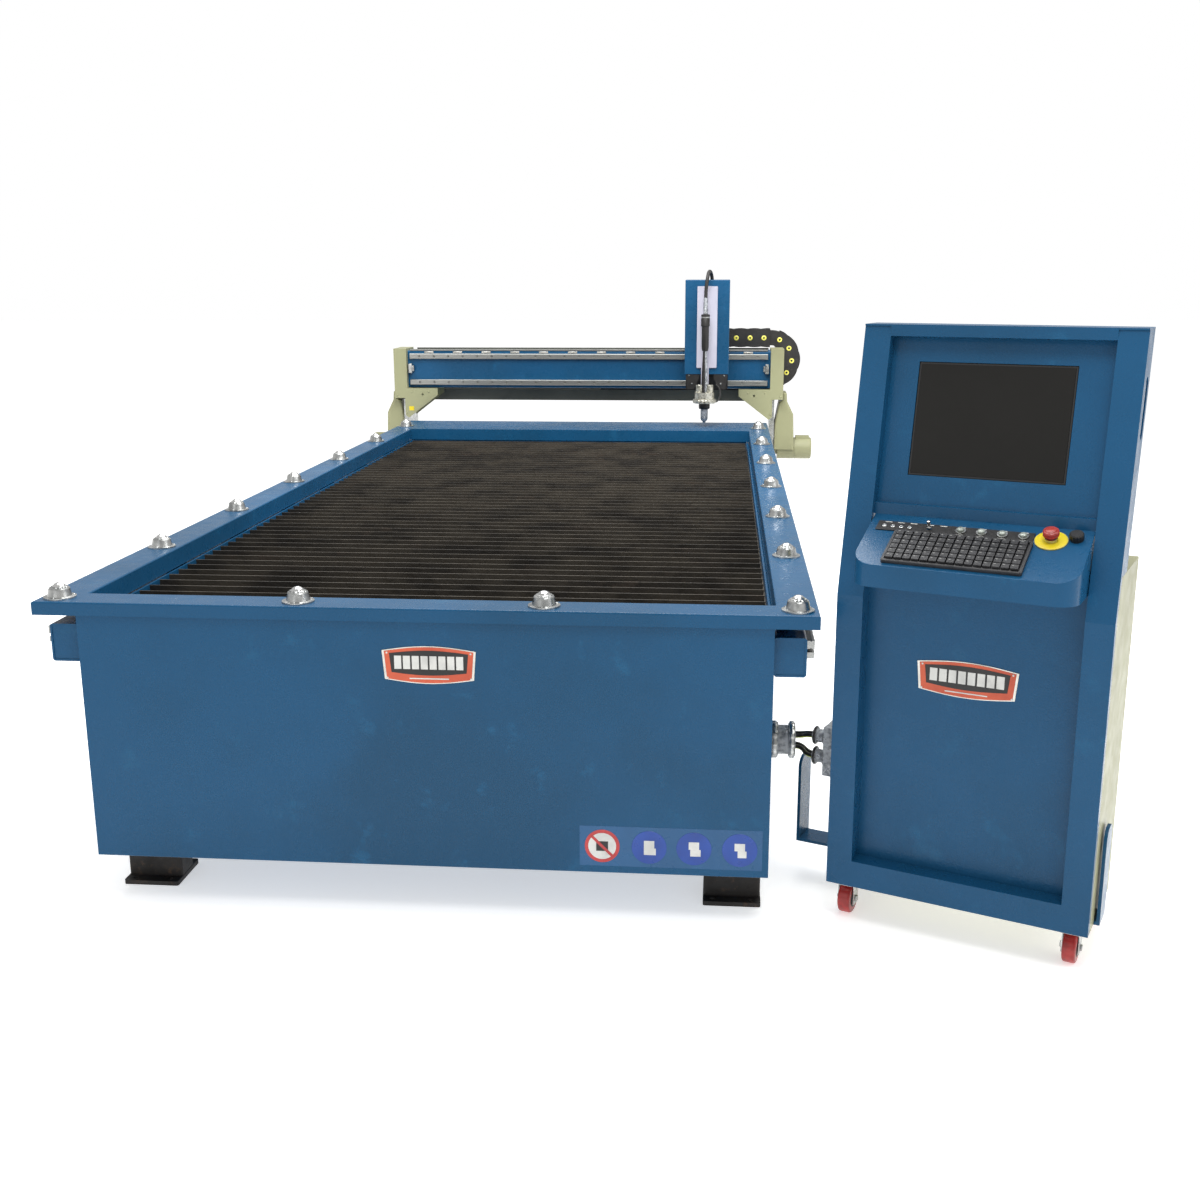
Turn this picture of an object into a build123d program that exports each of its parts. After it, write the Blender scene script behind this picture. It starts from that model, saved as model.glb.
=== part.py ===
"""Plasma cutting table with a travelling gantry, a lifting torch and a rolling operator console.

Millimetres.  +Z is up, +Y runs along the table towards the parked gantry, +X is the console
side.  The origin is on the floor under the centre of the table, at the underside of its middle leg.
"""
import math
import os

from build123d import *

os.makedirs("parts", exist_ok=True)

# ---------------------------------------------------------------- driving dimensions: table
TABLE_W = 1950            # rim width over its outer lips
TABLE_L = 4200            # rim length
TABLE_H = 812             # top of the rim
RIM_W = 103               # flat top of the folded rim
REAR_SHELF = 400          # wider flat top behind the bed
SHEET = 5                 # rim sheet
LIP = 34                  # outer lip
FLANGE = 50               # inner lip
FOLD = 4.5                # outside fold radius
FRONT = -TABLE_L / 2
BACK = TABLE_L / 2
BED_BACK = BACK - REAR_SHELF
HALF_W = TABLE_W / 2
TANK_HALF = 868
TANK_WALL = 6
TANK_Z = 136              # underside of the tank floor
PANEL_SET = 12            # front panel behind the rim's lip
SLAT_PITCH = 69
SLAT_COUNT = 53
SLAT_T = 5
SLAT_H = 80
SLAT_TOP = TABLE_H - SHEET - FLANGE
SLAT_HALF = 855
BED_MID = (FRONT + RIM_W + BED_BACK) / 2
LEG_X = (-780, 0, 780)
LEG_Y = (-1910, -955, 0, 810, 1620)
FOOT = 150
FOOT_T = 12
FOOT_HOLE = 7             # anchor hole radius
FOOT_HOLES = (100, 116)   # anchor hole pitch across and along the table

# ---------------------------------------------------------------- driving dimensions: travel axis
BEAM_IN = 868             # side beam, inner face
BEAM_OUT = 947            # side beam, outer face
BEAM_Z = (651, 749)
BEAM_END = 400            # beam behind the rim
POST_PITCH = 540          # posts that carry the rim on the beams
POST_COUNT = 8
RAIL = 20
RAIL_Z = 725
MODULE = 4
TEETH = 17
PITCH_R = MODULE * TEETH / 2
PINION_Z = 655
RACK_PITCH_Z = PINION_Z + PITCH_R
RACK_TOP = 706
TOOTH = math.pi * MODULE
PRESSURE = math.radians(20)

# ---------------------------------------------------------------- driving dimensions: gantry
GY = FRONT + 4250         # front plane of the gantry's end plates
COLUMN_IN = 990
COLUMN_OUT = 1060
COLUMN_D = 190
COLUMN_Z = (930, 1197)
PLATE_OUT = 1015
SHAFT_Y = GY + 135
CROSS_BEAM_Y = (GY + 40, GY + 190)
CROSS_BEAM_Z = (985, 1185)
CROSS_RAIL_Z = (1155, 1015)
CROSS_RAIL_H = 28
TRAY_Y = (GY + 190, GY + 266)
TRAY_Z = 960
POD_R = 58.5
POD_X = (1040, 1225)

# ---------------------------------------------------------------- driving dimensions: carriage
CX = 650                  # carriage centre when parked
HOUSING_HALF = 115
HOUSING_Y = (GY - 200, GY - 20)
HOUSING_Z = (1080, 1560)
SCREW_Y = GY - 80
TORCH_X = CX - 8
TORCH_Y = GY - 262
LEAD_X = CX + 22
LEAD_Y = GY - 152
LEAD_D = 18

# ---------------------------------------------------------------- driving dimensions: chain
CHAIN_Y = GY + 228
CHAIN_Z = 1247.5          # centreline of the upper run
BEND_R = 115
BEND_X = 995
RUN_LEFT = 600

# ---------------------------------------------------------------- driving dimensions: console
CONSOLE = Plane(origin=(1017, FRONT + 74, 0), x_dir=(math.cos(math.radians(23.7)),
                -math.sin(math.radians(23.7)), 0), z_dir=(0, 0, 1))
BACKWARD = Axis((0, 0, 0), CONSOLE.y_dir)
SIDEWAYS = Axis((0, 0, 0), CONSOLE.x_dir)
CON_W = 636
CON_Z = (100, 850, 1484)  # bottom, kink and top of the front frame
LEAN = 133
STILE = 64
RETURN = 85               # side return of the frame above the cabinet
LOW_RETURN = 20           # side return beside the cabinet
SKIN = 4
RECESS = 50
UPPER_RECESS = 35
CAB_X = (0, CON_W)
CAB_Y = (20.5, 300)
CAB_Z = (100, 950)
SHELF_X = (66, 570)
SHELF_Y = (-122, 62)
SHELF_Z = (905, 957, 1043)  # underside, front edge and back edge
SHELF_TILT = math.degrees(math.atan2(SHELF_Z[2] - SHELF_Z[1], SHELF_Y[1] - SHELF_Y[0]))
CASTER_X = (38, 592)
CASTER_Y = (42, 258)
WHEEL_R = 40
WHEEL_W = 32
TRAIL = 22


def block(xr, yr, zr, mode=Mode.ADD):
    """Adds a box given by its low and high faces."""
    with Locations(((xr[0] + xr[1]) / 2, (yr[0] + yr[1]) / 2, (zr[0] + zr[1]) / 2)):
        Box(xr[1] - xr[0], yr[1] - yr[0], zr[1] - zr[0], mode=mode)


def save(builder, name):
    """Labels a finished piece and writes its STEP file."""
    builder.part.label = name
    export_step(builder.part, f"parts/{name}.step")


def both_sides(x):
    """The two mirrored X places of a piece."""
    return (-x, x)


# ================================================================ table: rim
RIM_PROFILE = [(0, -LIP), (0, 0), (RIM_W, 0), (RIM_W, -FLANGE - SHEET), (RIM_W - SHEET, -FLANGE - SHEET),
               (RIM_W - SHEET, -SHEET), (SHEET, -SHEET), (SHEET, -LIP)]


def rim_section():
    """Folded channel: flat top, short outer lip and deeper inner flange."""
    Polygon(*RIM_PROFILE, align=None)


with BuildPart() as rim_front:
    with BuildSketch(Plane((-HALF_W, FRONT, TABLE_H), x_dir=(0, 1, 0), z_dir=(1, 0, 0))) as rim_front_sk:
        rim_section()
        fillet(rim_front_sk.vertices().group_by(Axis.Y)[-1], FOLD)
    extrude(amount=TABLE_W)
    for side in (-1, 1):
        split(bisect_by=Plane((side * HALF_W, FRONT, TABLE_H), z_dir=(side, 1, 0)), keep=Keep.BOTTOM)
save(rim_front, "rim_front")

with BuildPart() as rim_sides:
    with BuildSketch(Plane((HALF_W, FRONT, TABLE_H), x_dir=(-1, 0, 0), z_dir=(0, 1, 0))) as rim_side_sk:
        rim_section()
        fillet(rim_side_sk.vertices().group_by(Axis.Y)[-1], FOLD)
    extrude(amount=TABLE_L - REAR_SHELF)
    split(bisect_by=Plane((HALF_W, FRONT, TABLE_H), z_dir=(1, 1, 0)), keep=Keep.TOP)
    mirror(about=Plane.YZ)
save(rim_sides, "rim_sides")

with BuildPart() as rim_rear:
    block((-HALF_W, HALF_W), (BED_BACK, BACK), (TABLE_H - LIP, TABLE_H))
    fillet(rim_rear.edges().filter_by(Axis.Z).sort_by(Axis.Y)[-2:], 8)
    fillet(rim_rear.faces().sort_by(Axis.Z)[-1].edges().sort_by(Axis.Y)[1:], FOLD)
    block((-HALF_W + SHEET, HALF_W - SHEET), (BED_BACK + SHEET, BACK - SHEET),
          (TABLE_H - LIP, TABLE_H - SHEET), mode=Mode.SUBTRACT)
    block((-HALF_W + RIM_W, HALF_W - RIM_W), (BED_BACK, BED_BACK + SHEET),
          (TABLE_H - SHEET - FLANGE, TABLE_H - SHEET))
save(rim_rear, "rim_rear")

# ================================================================ table: tank
with BuildPart() as tank_front:
    block((-TANK_HALF, TANK_HALF), (FRONT + PANEL_SET, FRONT + PANEL_SET + TANK_WALL),
          (TANK_Z - 6, TABLE_H - SHEET))
    block((-TANK_HALF, TANK_HALF), (FRONT + PANEL_SET + TANK_WALL, FRONT + PANEL_SET + 40),
          (TANK_Z - 6, TANK_Z))
    fillet(tank_front.edges().filter_by(Axis.X).group_by(Axis.Z)[0].sort_by(Axis.Y)[0], FOLD)
save(tank_front, "tank_front")

TANK_Y = (FRONT + PANEL_SET + TANK_WALL, BED_BACK + 12)
SEAM = 0.5
with BuildPart() as tank_panels:
    for x in both_sides(TANK_HALF - TANK_WALL / 2):
        block((x - TANK_WALL / 2, x + TANK_WALL / 2), TANK_Y, (TANK_Z + TANK_WALL + SEAM, SLAT_TOP - 2))
    block((TANK_WALL + SEAM - TANK_HALF, TANK_HALF - TANK_WALL - SEAM), (TANK_Y[1] - TANK_WALL, TANK_Y[1]),
          (TANK_Z + TANK_WALL + SEAM, TABLE_H - SHEET))
    block((-TANK_HALF, TANK_HALF), (TANK_Y[0] + 22, TANK_Y[1]), (TANK_Z, TANK_Z + TANK_WALL))
save(tank_panels, "tank_panels")

with BuildPart() as side_beams:
    for x in both_sides((BEAM_IN + BEAM_OUT) / 2):
        beam_w = BEAM_OUT - BEAM_IN
        with BuildSketch(Plane((x, FRONT + 30, sum(BEAM_Z) / 2), x_dir=(1, 0, 0), z_dir=(0, 1, 0))):
            RectangleRounded(beam_w, BEAM_Z[1] - BEAM_Z[0], 8)
            Rectangle(beam_w - 10, BEAM_Z[1] - BEAM_Z[0] - 10, mode=Mode.SUBTRACT)
        extrude(amount=TABLE_L + BEAM_END - 30)
        for y in (FRONT + 36, BACK + BEAM_END - 6):
            block((x - beam_w / 2 + 5, x + beam_w / 2 - 5), (y - 4, y + 4), (BEAM_Z[0] + 5, BEAM_Z[1] - 5))
        with Locations((x, (FRONT + BACK) / 2, (BEAM_Z[1] + TABLE_H - SHEET) / 2)):
            with GridLocations(1, POST_PITCH, 1, POST_COUNT):
                Box(40, 60, TABLE_H - SHEET - BEAM_Z[1])
save(side_beams, "side_beams")

# ================================================================ table: slats and their combs
with BuildPart() as slats:
    with BuildSketch(Plane.YZ.offset(-SLAT_HALF)):
        with Locations((BED_MID, SLAT_TOP - SLAT_H / 2)):
            with GridLocations(SLAT_PITCH, 0, SLAT_COUNT, 1):
                Rectangle(SLAT_T, SLAT_H)
    extrude(amount=2 * SLAT_HALF)
save(slats, "slats")

COMB_T = 16
COMB_Z = (SLAT_TOP - SLAT_H - 35, SLAT_TOP - 35)
with BuildPart() as slat_combs:
    with BuildSketch(Plane.YZ.offset(TANK_HALF - TANK_WALL - COMB_T)):
        with Locations((BED_MID, sum(COMB_Z) / 2)):
            Rectangle(SLAT_PITCH * SLAT_COUNT, COMB_Z[1] - COMB_Z[0])
        with Locations((BED_MID, SLAT_TOP - SLAT_H + 40)):
            with GridLocations(SLAT_PITCH, 0, SLAT_COUNT, 1):
                Rectangle(SLAT_T + 1, 80, mode=Mode.SUBTRACT)
    extrude(amount=COMB_T)
    mirror(about=Plane.YZ)
save(slat_combs, "slat_combs")

# ================================================================ table: legs
LEG_TUBE = (148, 78)
tank_legs = [(x, y, TANK_Z) for x in LEG_X for y in LEG_Y if x or y > LEG_Y[0]]
beam_legs = [(x, BACK + 300, BEAM_Z[0]) for x in both_sides((BEAM_IN + BEAM_OUT) / 2)]
with BuildPart() as support_legs:
    for x, y, top in tank_legs + beam_legs:
        with BuildSketch():
            with Locations((x, y)):
                RectangleRounded(FOOT, FOOT, 6)
                with GridLocations(*FOOT_HOLES, 2, 2):
                    Circle(FOOT_HOLE, mode=Mode.SUBTRACT)
        extrude(amount=FOOT_T)
        with BuildSketch(Plane.XY.offset(FOOT_T)):
            with Locations((x, y)):
                RectangleRounded(*LEG_TUBE, 6)
                Rectangle(LEG_TUBE[0] - 10, LEG_TUBE[1] - 10, mode=Mode.SUBTRACT)
        extrude(amount=top - FOOT_T)
save(support_legs, "support_legs")

# ================================================================ table: ball transfers
BALL_INSET = 51.6
BALL_PITCH_X = (TABLE_W - 2 * BALL_INSET) / 3
BALL_PITCH_Y = 643
BALL_R = 19
BALL_Z = TABLE_H + 20.5
ball_places = [(BALL_PITCH_X * (i - 1.5), FRONT + BALL_INSET) for i in range(4)]
ball_places += [(x, FRONT + BALL_INSET + BALL_PITCH_Y * k)
                for k in range(1, 7) for x in both_sides(HALF_W - BALL_INSET)]
POCKET_R = BALL_R + 0.5
CUP_TOP = BALL_Z + 6
CUP_MOUTH = math.sqrt(POCKET_R ** 2 - 36)

with BuildPart() as ball_cup:
    with BuildSketch(Plane.XZ):
        with BuildLine():
            Polyline((0, BALL_Z - POCKET_R), (0, TABLE_H), (40, TABLE_H), (40, TABLE_H + 4), (30, TABLE_H + 5.5),
                     (26, CUP_TOP - 3), (24, CUP_TOP), (CUP_MOUTH, CUP_TOP))
            ThreePointArc((CUP_MOUTH, CUP_TOP), (POCKET_R * math.cos(math.radians(-35)),
                          BALL_Z + POCKET_R * math.sin(math.radians(-35))), (0, BALL_Z - POCKET_R))
        make_face()
    revolve(axis=Axis.Z)

with BuildPart() as ball_housings:
    with Locations(*[(x, y, 0) for x, y in ball_places]):
        add(ball_cup.part)
save(ball_housings, "ball_housings")

with BuildPart() as transfer_balls:
    with Locations(*[(x, y, BALL_Z) for x, y in ball_places]):
        Sphere(BALL_R)
save(transfer_balls, "transfer_balls")

# ================================================================ travel axis: rails and racks
TRAVEL_Y = (FRONT + 60, BACK + BEAM_END - 20)
with BuildPart() as long_rails:
    with BuildSketch(Plane.XZ.offset(-TRAVEL_Y[0])):
        with Locations((BEAM_OUT + RAIL / 2, RAIL_Z)):
            Rectangle(RAIL, RAIL)
        with Locations(*[(BEAM_OUT + 11, RAIL_Z + s * RAIL / 2) for s in (-1, 1)]):
            RegularPolygon(2.5, 4, rotation=45, mode=Mode.SUBTRACT)
    extrude(amount=-(TRAVEL_Y[1] - TRAVEL_Y[0]))
    mirror(about=Plane.YZ)
save(long_rails, "long_rails")

# A rack space stands over the parked pinion, so that one pinion tooth fills it.
first_tooth = math.ceil((TRAVEL_Y[0] - SHAFT_Y) / TOOTH)
last_tooth = math.floor((TRAVEL_Y[1] - SHAFT_Y) / TOOTH) - 1
ADDENDUM = MODULE
DEDENDUM = 1.25 * MODULE
HALF_TOOTH = TOOTH / 4 - 0.2
TAN_P = math.tan(PRESSURE)
rack_points = [(TRAVEL_Y[0], RACK_TOP), (TRAVEL_Y[0], RACK_PITCH_Z + DEDENDUM)]
for k in range(first_tooth + 1, last_tooth):
    mid = SHAFT_Y + (k + 0.5) * TOOTH
    for offset_y, z in ((-HALF_TOOTH - DEDENDUM * TAN_P, DEDENDUM), (-HALF_TOOTH + ADDENDUM * TAN_P, -ADDENDUM),
                        (HALF_TOOTH - ADDENDUM * TAN_P, -ADDENDUM), (HALF_TOOTH + DEDENDUM * TAN_P, DEDENDUM)):
        rack_points.append((mid + offset_y, RACK_PITCH_Z + z))
rack_points += [(TRAVEL_Y[1], RACK_PITCH_Z + DEDENDUM), (TRAVEL_Y[1], RACK_TOP)]

with BuildPart() as gear_racks:
    with BuildSketch(Plane.YZ.offset(BEAM_OUT)):
        with BuildLine():
            Polyline(*rack_points, close=True)
        make_face()
    extrude(amount=RAIL)
    mirror(about=Plane.YZ)
save(gear_racks, "gear_racks")

# ---------------------------------------------------------------- pinions, one at each side
BASE_R = PITCH_R * math.cos(PRESSURE)
TIP_R = PITCH_R + ADDENDUM
ROOT_R = PITCH_R - DEDENDUM
FLANK_STEPS = 5


def involute(radius):
    """Angle that an involute has turned through when it reaches a radius."""
    roll = math.sqrt(max((radius / BASE_R) ** 2 - 1, 0))
    return roll - math.atan(roll)


def pinion_outline():
    """Points round a full-depth pinion, starting at a tooth that points straight up."""
    half_angle = HALF_TOOTH / PITCH_R + involute(PITCH_R)
    radii = [BASE_R + (TIP_R - BASE_R) * i / FLANK_STEPS for i in range(FLANK_STEPS + 1)]
    rising = [(ROOT_R, half_angle)] + [(r, half_angle - involute(r)) for r in radii]
    points = []
    for tooth in range(TEETH):
        centre = math.pi / 2 + tooth * math.tau / TEETH
        for radius, angle in rising:
            points.append((radius * math.cos(centre - angle), radius * math.sin(centre - angle)))
        for radius, angle in reversed(rising):
            points.append((radius * math.cos(centre + angle), radius * math.sin(centre + angle)))
    return points


PINION_X = (948, 966)
SHAFT_R = 10
with BuildPart() as drive_pinions:
    with BuildSketch(Plane((PINION_X[0], SHAFT_Y, PINION_Z), x_dir=(0, 1, 0), z_dir=(1, 0, 0))):
        with BuildLine():
            Polyline(*pinion_outline(), close=True)
        make_face()
    extrude(amount=PINION_X[1] - PINION_X[0])
    with BuildSketch(Plane((PINION_X[1], SHAFT_Y, PINION_Z), x_dir=(0, 1, 0), z_dir=(1, 0, 0))):
        Circle(16)
    extrude(amount=14)
    with BuildSketch(Plane((PINION_X[1] + 14, SHAFT_Y, PINION_Z), x_dir=(0, 1, 0), z_dir=(1, 0, 0))):
        Circle(SHAFT_R)
    extrude(amount=85)
    mirror(about=Plane.YZ)
save(drive_pinions, "drive_pinions")

# ================================================================ gantry
with BuildPart() as travel_feet:
    for y in (GY + 58, GY + 212):
        block((BEAM_OUT + 4, COLUMN_IN), (y - 35, y + 35), (RAIL_Z - 18, RAIL_Z + 18))
    chamfer(travel_feet.edges().filter_by(Axis.Y).group_by(Axis.X)[0], 2)
    block((BEAM_OUT + 3, BEAM_OUT + RAIL + 0.4), (GY + 10, GY + 260), (RAIL_Z - 10.4, RAIL_Z + 10.4),
          mode=Mode.SUBTRACT)
    with BuildSketch(Plane((COLUMN_IN, SHAFT_Y, (622 + COLUMN_Z[0]) / 2), x_dir=(0, 1, 0), z_dir=(1, 0, 0))):
        RectangleRounded(234, COLUMN_Z[0] - 622, 8)
    extrude(amount=PLATE_OUT - COLUMN_IN)
    with Locations(Plane((PLATE_OUT, SHAFT_Y, PINION_Z), z_dir=(1, 0, 0))):
        Hole(18, depth=PLATE_OUT - COLUMN_IN)
    with Locations(Plane((PLATE_OUT, SHAFT_Y, RAIL_Z), x_dir=(0, 1, 0), z_dir=(1, 0, 0))):
        with GridLocations(154, 30, 2, 2):
            CounterBoreHole(4, 7, 8, depth=24)
    mirror(about=Plane.YZ)
save(travel_feet, "travel_feet")

# Folded cover of the beam's end, with a bracket that runs in under the beam.
GUSSET = [(COLUMN_OUT, COLUMN_Z[1]), (COLUMN_OUT, COLUMN_Z[0]), (1003, COLUMN_Z[0]), (1003, 836), (986, 822),
          (822, 948), (822, 984), (COLUMN_IN, 984), (COLUMN_IN, COLUMN_Z[1])]
REAR_GUSSET = [(822, 984), (COLUMN_IN, 984), (COLUMN_IN, 931), (988, 931), (988, 836), (984, 824), (822, 948)]
with BuildPart() as end_plates:
    block((COLUMN_IN, COLUMN_OUT), (GY, GY + COLUMN_D), COLUMN_Z)
    fillet(end_plates.edges().filter_by(Axis.Z).sort_by(Axis.X)[-2:], 5)
    block((COLUMN_IN + SKIN, COLUMN_OUT - SKIN), (GY + SKIN, GY + COLUMN_D - SKIN),
          (COLUMN_Z[0] + SKIN, COLUMN_Z[1] - SKIN), mode=Mode.SUBTRACT)
    block((COLUMN_IN - 1, COLUMN_IN + SKIN), (CROSS_BEAM_Y[0] + 6, CROSS_BEAM_Y[1] - 10),
          (CROSS_BEAM_Z[0] + 10, CROSS_BEAM_Z[1] - 10), mode=Mode.SUBTRACT)
    for y, outline in ((GY, GUSSET), (GY + COLUMN_D - 8, REAR_GUSSET)):
        with BuildSketch(Plane((0, y, 0), x_dir=(1, 0, 0), z_dir=(0, -1, 0))):
            Polygon(*outline, align=None)
            with Locations((905, 950)):
                Circle(6, mode=Mode.SUBTRACT)
        extrude(amount=-8)
    mirror(about=Plane.YZ)
save(end_plates, "end_plates")

with BuildPart() as gantry_beam:
    beam_d = CROSS_BEAM_Y[1] - CROSS_BEAM_Y[0]
    beam_h = CROSS_BEAM_Z[1] - CROSS_BEAM_Z[0]
    with BuildSketch(Plane((-COLUMN_IN, sum(CROSS_BEAM_Y) / 2, sum(CROSS_BEAM_Z) / 2),
                           x_dir=(0, 1, 0), z_dir=(1, 0, 0))):
        RectangleRounded(beam_d, beam_h, 8)
        Rectangle(beam_d - 12, beam_h - 12, mode=Mode.SUBTRACT)
    extrude(amount=2 * COLUMN_IN)
save(gantry_beam, "gantry_beam")

with BuildPart() as beam_rails:
    for z in CROSS_RAIL_Z:
        block((-975, 975), (CROSS_BEAM_Y[0] - RAIL, CROSS_BEAM_Y[0]), (z - CROSS_RAIL_H / 2, z + CROSS_RAIL_H / 2))
    chamfer(beam_rails.edges().filter_by(Axis.X).group_by(Axis.Y)[0], 2)
    with Locations(Plane((0, CROSS_BEAM_Y[0] - RAIL, sum(CROSS_RAIL_Z) / 2), x_dir=(1, 0, 0), z_dir=(0, -1, 0))):
        with GridLocations(80, CROSS_RAIL_Z[0] - CROSS_RAIL_Z[1], 24, 2):
            CounterBoreHole(3.5, 6.5, 8, depth=19)
save(beam_rails, "beam_rails")

with BuildPart() as rear_cover:
    block((-985, 985), (TRAY_Y[0], TRAY_Y[1]), (TRAY_Z, TRAY_Z + SKIN))
    block((-985, 985), (TRAY_Y[1] - SKIN, TRAY_Y[1]), (905, 1190))
    block((-985, 985), (TRAY_Y[0], TRAY_Y[0] + SKIN), (905, TRAY_Z))
    fillet(rear_cover.edges().filter_by(Axis.X).group_by(Axis.Z)[-1], 1.5)
save(rear_cover, "rear_cover")

# Fairing over the drive: slim at the top and swelling down onto the motor pod.
FAIRING = [(1061, 962), (1083, 962), (1086, 915), (1121, 845), (1126, 720), (1126, PINION_Z), (1022, PINION_Z),
           (1022, 800), (1042, 910), (1061, 922)]
with BuildPart() as drive_housings:
    with BuildSketch(Plane((0, GY + 60, 0), x_dir=(1, 0, 0), z_dir=(0, -1, 0))) as fairing_sk:
        with BuildLine():
            Polyline(*FAIRING, close=True)
        make_face()
        fillet(fairing_sk.vertices().sort_by(Axis.Y)[-6:], 7)
    extrude(amount=-150)
    fillet(drive_housings.edges().filter_by(Axis.Z).sort_by(Axis.X)[-2:], 10)
    block((1026, 1122), (GY + 64, GY + 206), (640, 800), mode=Mode.SUBTRACT)
    with BuildSketch(Plane((1000, SHAFT_Y, PINION_Z), x_dir=(0, 1, 0), z_dir=(1, 0, 0))):
        Circle(POD_R + 0.5)
    extrude(amount=150, mode=Mode.SUBTRACT)
    mirror(about=Plane.YZ)
save(drive_housings, "drive_housings")

with BuildPart() as drive_motors:
    with BuildSketch(Plane((POD_X[0], SHAFT_Y, PINION_Z), x_dir=(0, 1, 0), z_dir=(1, 0, 0))):
        Circle(POD_R)
    extrude(amount=POD_X[1] - POD_X[0])
    fillet(drive_motors.faces().sort_by(Axis.X)[-1].edges(), 9)
    with BuildSketch(Plane((1131, SHAFT_Y, PINION_Z), x_dir=(0, 1, 0), z_dir=(1, 0, 0))):
        Circle(POD_R + 1)
        Circle(POD_R - 2.5, mode=Mode.SUBTRACT)
    extrude(amount=3, mode=Mode.SUBTRACT)
    with BuildSketch(Plane((PLATE_OUT, SHAFT_Y, PINION_Z), x_dir=(0, 1, 0), z_dir=(1, 0, 0))):
        Circle(34)
    extrude(amount=POD_X[0] - PLATE_OUT)
    with Locations(Plane((PLATE_OUT, SHAFT_Y, PINION_Z), z_dir=(-1, 0, 0))):
        Hole(SHAFT_R + 0.5, depth=62)
    block((1139, 1212), (SHAFT_Y - 27, SHAFT_Y + 27), (PINION_Z + POD_R - 8, PINION_Z + POD_R + 10))
    mirror(about=Plane.YZ)
save(drive_motors, "drive_motors")

# ================================================================ carriage
with BuildPart() as carriage:
    for z in CROSS_RAIL_Z:
        for x in (CX - 62, CX + 62):
            block((x - 35, x + 35), (GY - 8, GY + 36), (z - 24, z + 24))
    chamfer(carriage.edges().filter_by(Axis.X).group_by(Axis.Y)[-1], 2)
    for z in CROSS_RAIL_Z:
        block((CX - 100, CX + 100), (CROSS_BEAM_Y[0] - RAIL - 0.4, GY + 37),
              (z - CROSS_RAIL_H / 2 - 0.4, z + CROSS_RAIL_H / 2 + 0.4), mode=Mode.SUBTRACT)
    with BuildSketch(Plane((CX, GY - 8, 1092.5), x_dir=(1, 0, 0), z_dir=(0, -1, 0))):
        RectangleRounded(224, 215, 6)
    extrude(amount=12)
    block((CX - 30, CX + 60), (GY - 8, TRAY_Y[1]), (1195, 1200))
save(carriage, "carriage")

HOUSING_WALL = 4
SLOT_Z = (1125, 1445)
with BuildPart() as z_housing:
    block((CX - HOUSING_HALF, CX + HOUSING_HALF), HOUSING_Y, HOUSING_Z)
    fillet(z_housing.edges().filter_by(Axis.Z), 5)
    fillet(z_housing.faces().sort_by(Axis.Z)[-1].edges(), 4)
    block((CX - HOUSING_HALF + HOUSING_WALL, CX + HOUSING_HALF - HOUSING_WALL),
          (HOUSING_Y[0] + HOUSING_WALL, HOUSING_Y[1] - HOUSING_WALL),
          (HOUSING_Z[0] - 1, HOUSING_Z[1] - HOUSING_WALL), mode=Mode.SUBTRACT)
    block((CX - 24, CX + 24), (HOUSING_Y[0] - 1, HOUSING_Y[0] + 6), SLOT_Z, mode=Mode.SUBTRACT)
    block((LEAD_X - 13, LEAD_X + 13), (LEAD_Y - 26, LEAD_Y + 14), (HOUSING_Z[1] - 6, HOUSING_Z[1] + 1),
          mode=Mode.SUBTRACT)
    block((CX - 30, CX + 30), (SCREW_Y - 30, SCREW_Y + 30), (1442, HOUSING_Z[1] - HOUSING_WALL))
    block((CX - 40, CX + 40), (SCREW_Y, HOUSING_Y[1] - HOUSING_WALL), (1470, 1520))
save(z_housing, "z_housing")

with BuildPart() as lift_screw:
    with BuildSketch(Plane.XY.offset(1105)):
        with Locations((CX, SCREW_Y)):
            Circle(8)
    extrude(amount=336.5)
save(lift_screw, "lift_screw")

with BuildPart() as housing_brackets:
    for side in (-1, 1):
        with BuildSketch(Plane((CX, HOUSING_Y[0] + 12, 0), x_dir=(1, 0, 0), z_dir=(0, -1, 0))):
            with BuildLine():
                Polyline((side * 108, 1090), (side * 38, 1090), (side * 38, 1060), (side * 66, 1000),
                         (side * 98, 1000), (side * 108, 1060), close=True)
            make_face()
        extrude(amount=8)
    with Locations(Plane((CX, HOUSING_Y[0] + 4, 1030), x_dir=(1, 0, 0), z_dir=(0, -1, 0))):
        with GridLocations(150, 1, 2, 1):
            Hole(4, depth=8)
save(housing_brackets, "housing_brackets")

# ---------------------------------------------------------------- torch slide, clamp and torch
with BuildPart() as slide_plate:
    block((CX - 52, CX + 52), (GY - 212, GY - 204), (1113, 1528))
    fillet(slide_plate.edges().filter_by(Axis.Y), 4)
    block((TORCH_X - 20, TORCH_X + 20), (GY - 212, GY - 204), (945, 1125))
    block((CX - 20, CX + 20), (GY - 204, SCREW_Y + 20), (1150, 1300))
    with Locations((CX, SCREW_Y, 1300)):
        Hole(8.4, depth=150)
save(slide_plate, "slide_plate")

with BuildPart() as torch_clamp:
    with Locations((TORCH_X, TORCH_Y, 946)):
        Cylinder(58, 20)
    with Locations((TORCH_X, TORCH_Y, 973)):
        Cylinder(50, 34)
    with Locations((TORCH_X - 26, TORCH_Y, 1010), (TORCH_X + 26, TORCH_Y, 1010)):
        Cylinder(19, 40)
    fillet(torch_clamp.edges().filter_by(GeomType.CIRCLE).group_by(Axis.Z)[-1], 3)
    block((TORCH_X - 70, TORCH_X + 70), (GY - 212, GY - 190), (930, 1040), mode=Mode.SUBTRACT)
    with Locations((TORCH_X, TORCH_Y, 1040)):
        Hole(19.4, depth=120)
save(torch_clamp, "torch_clamp")

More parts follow.
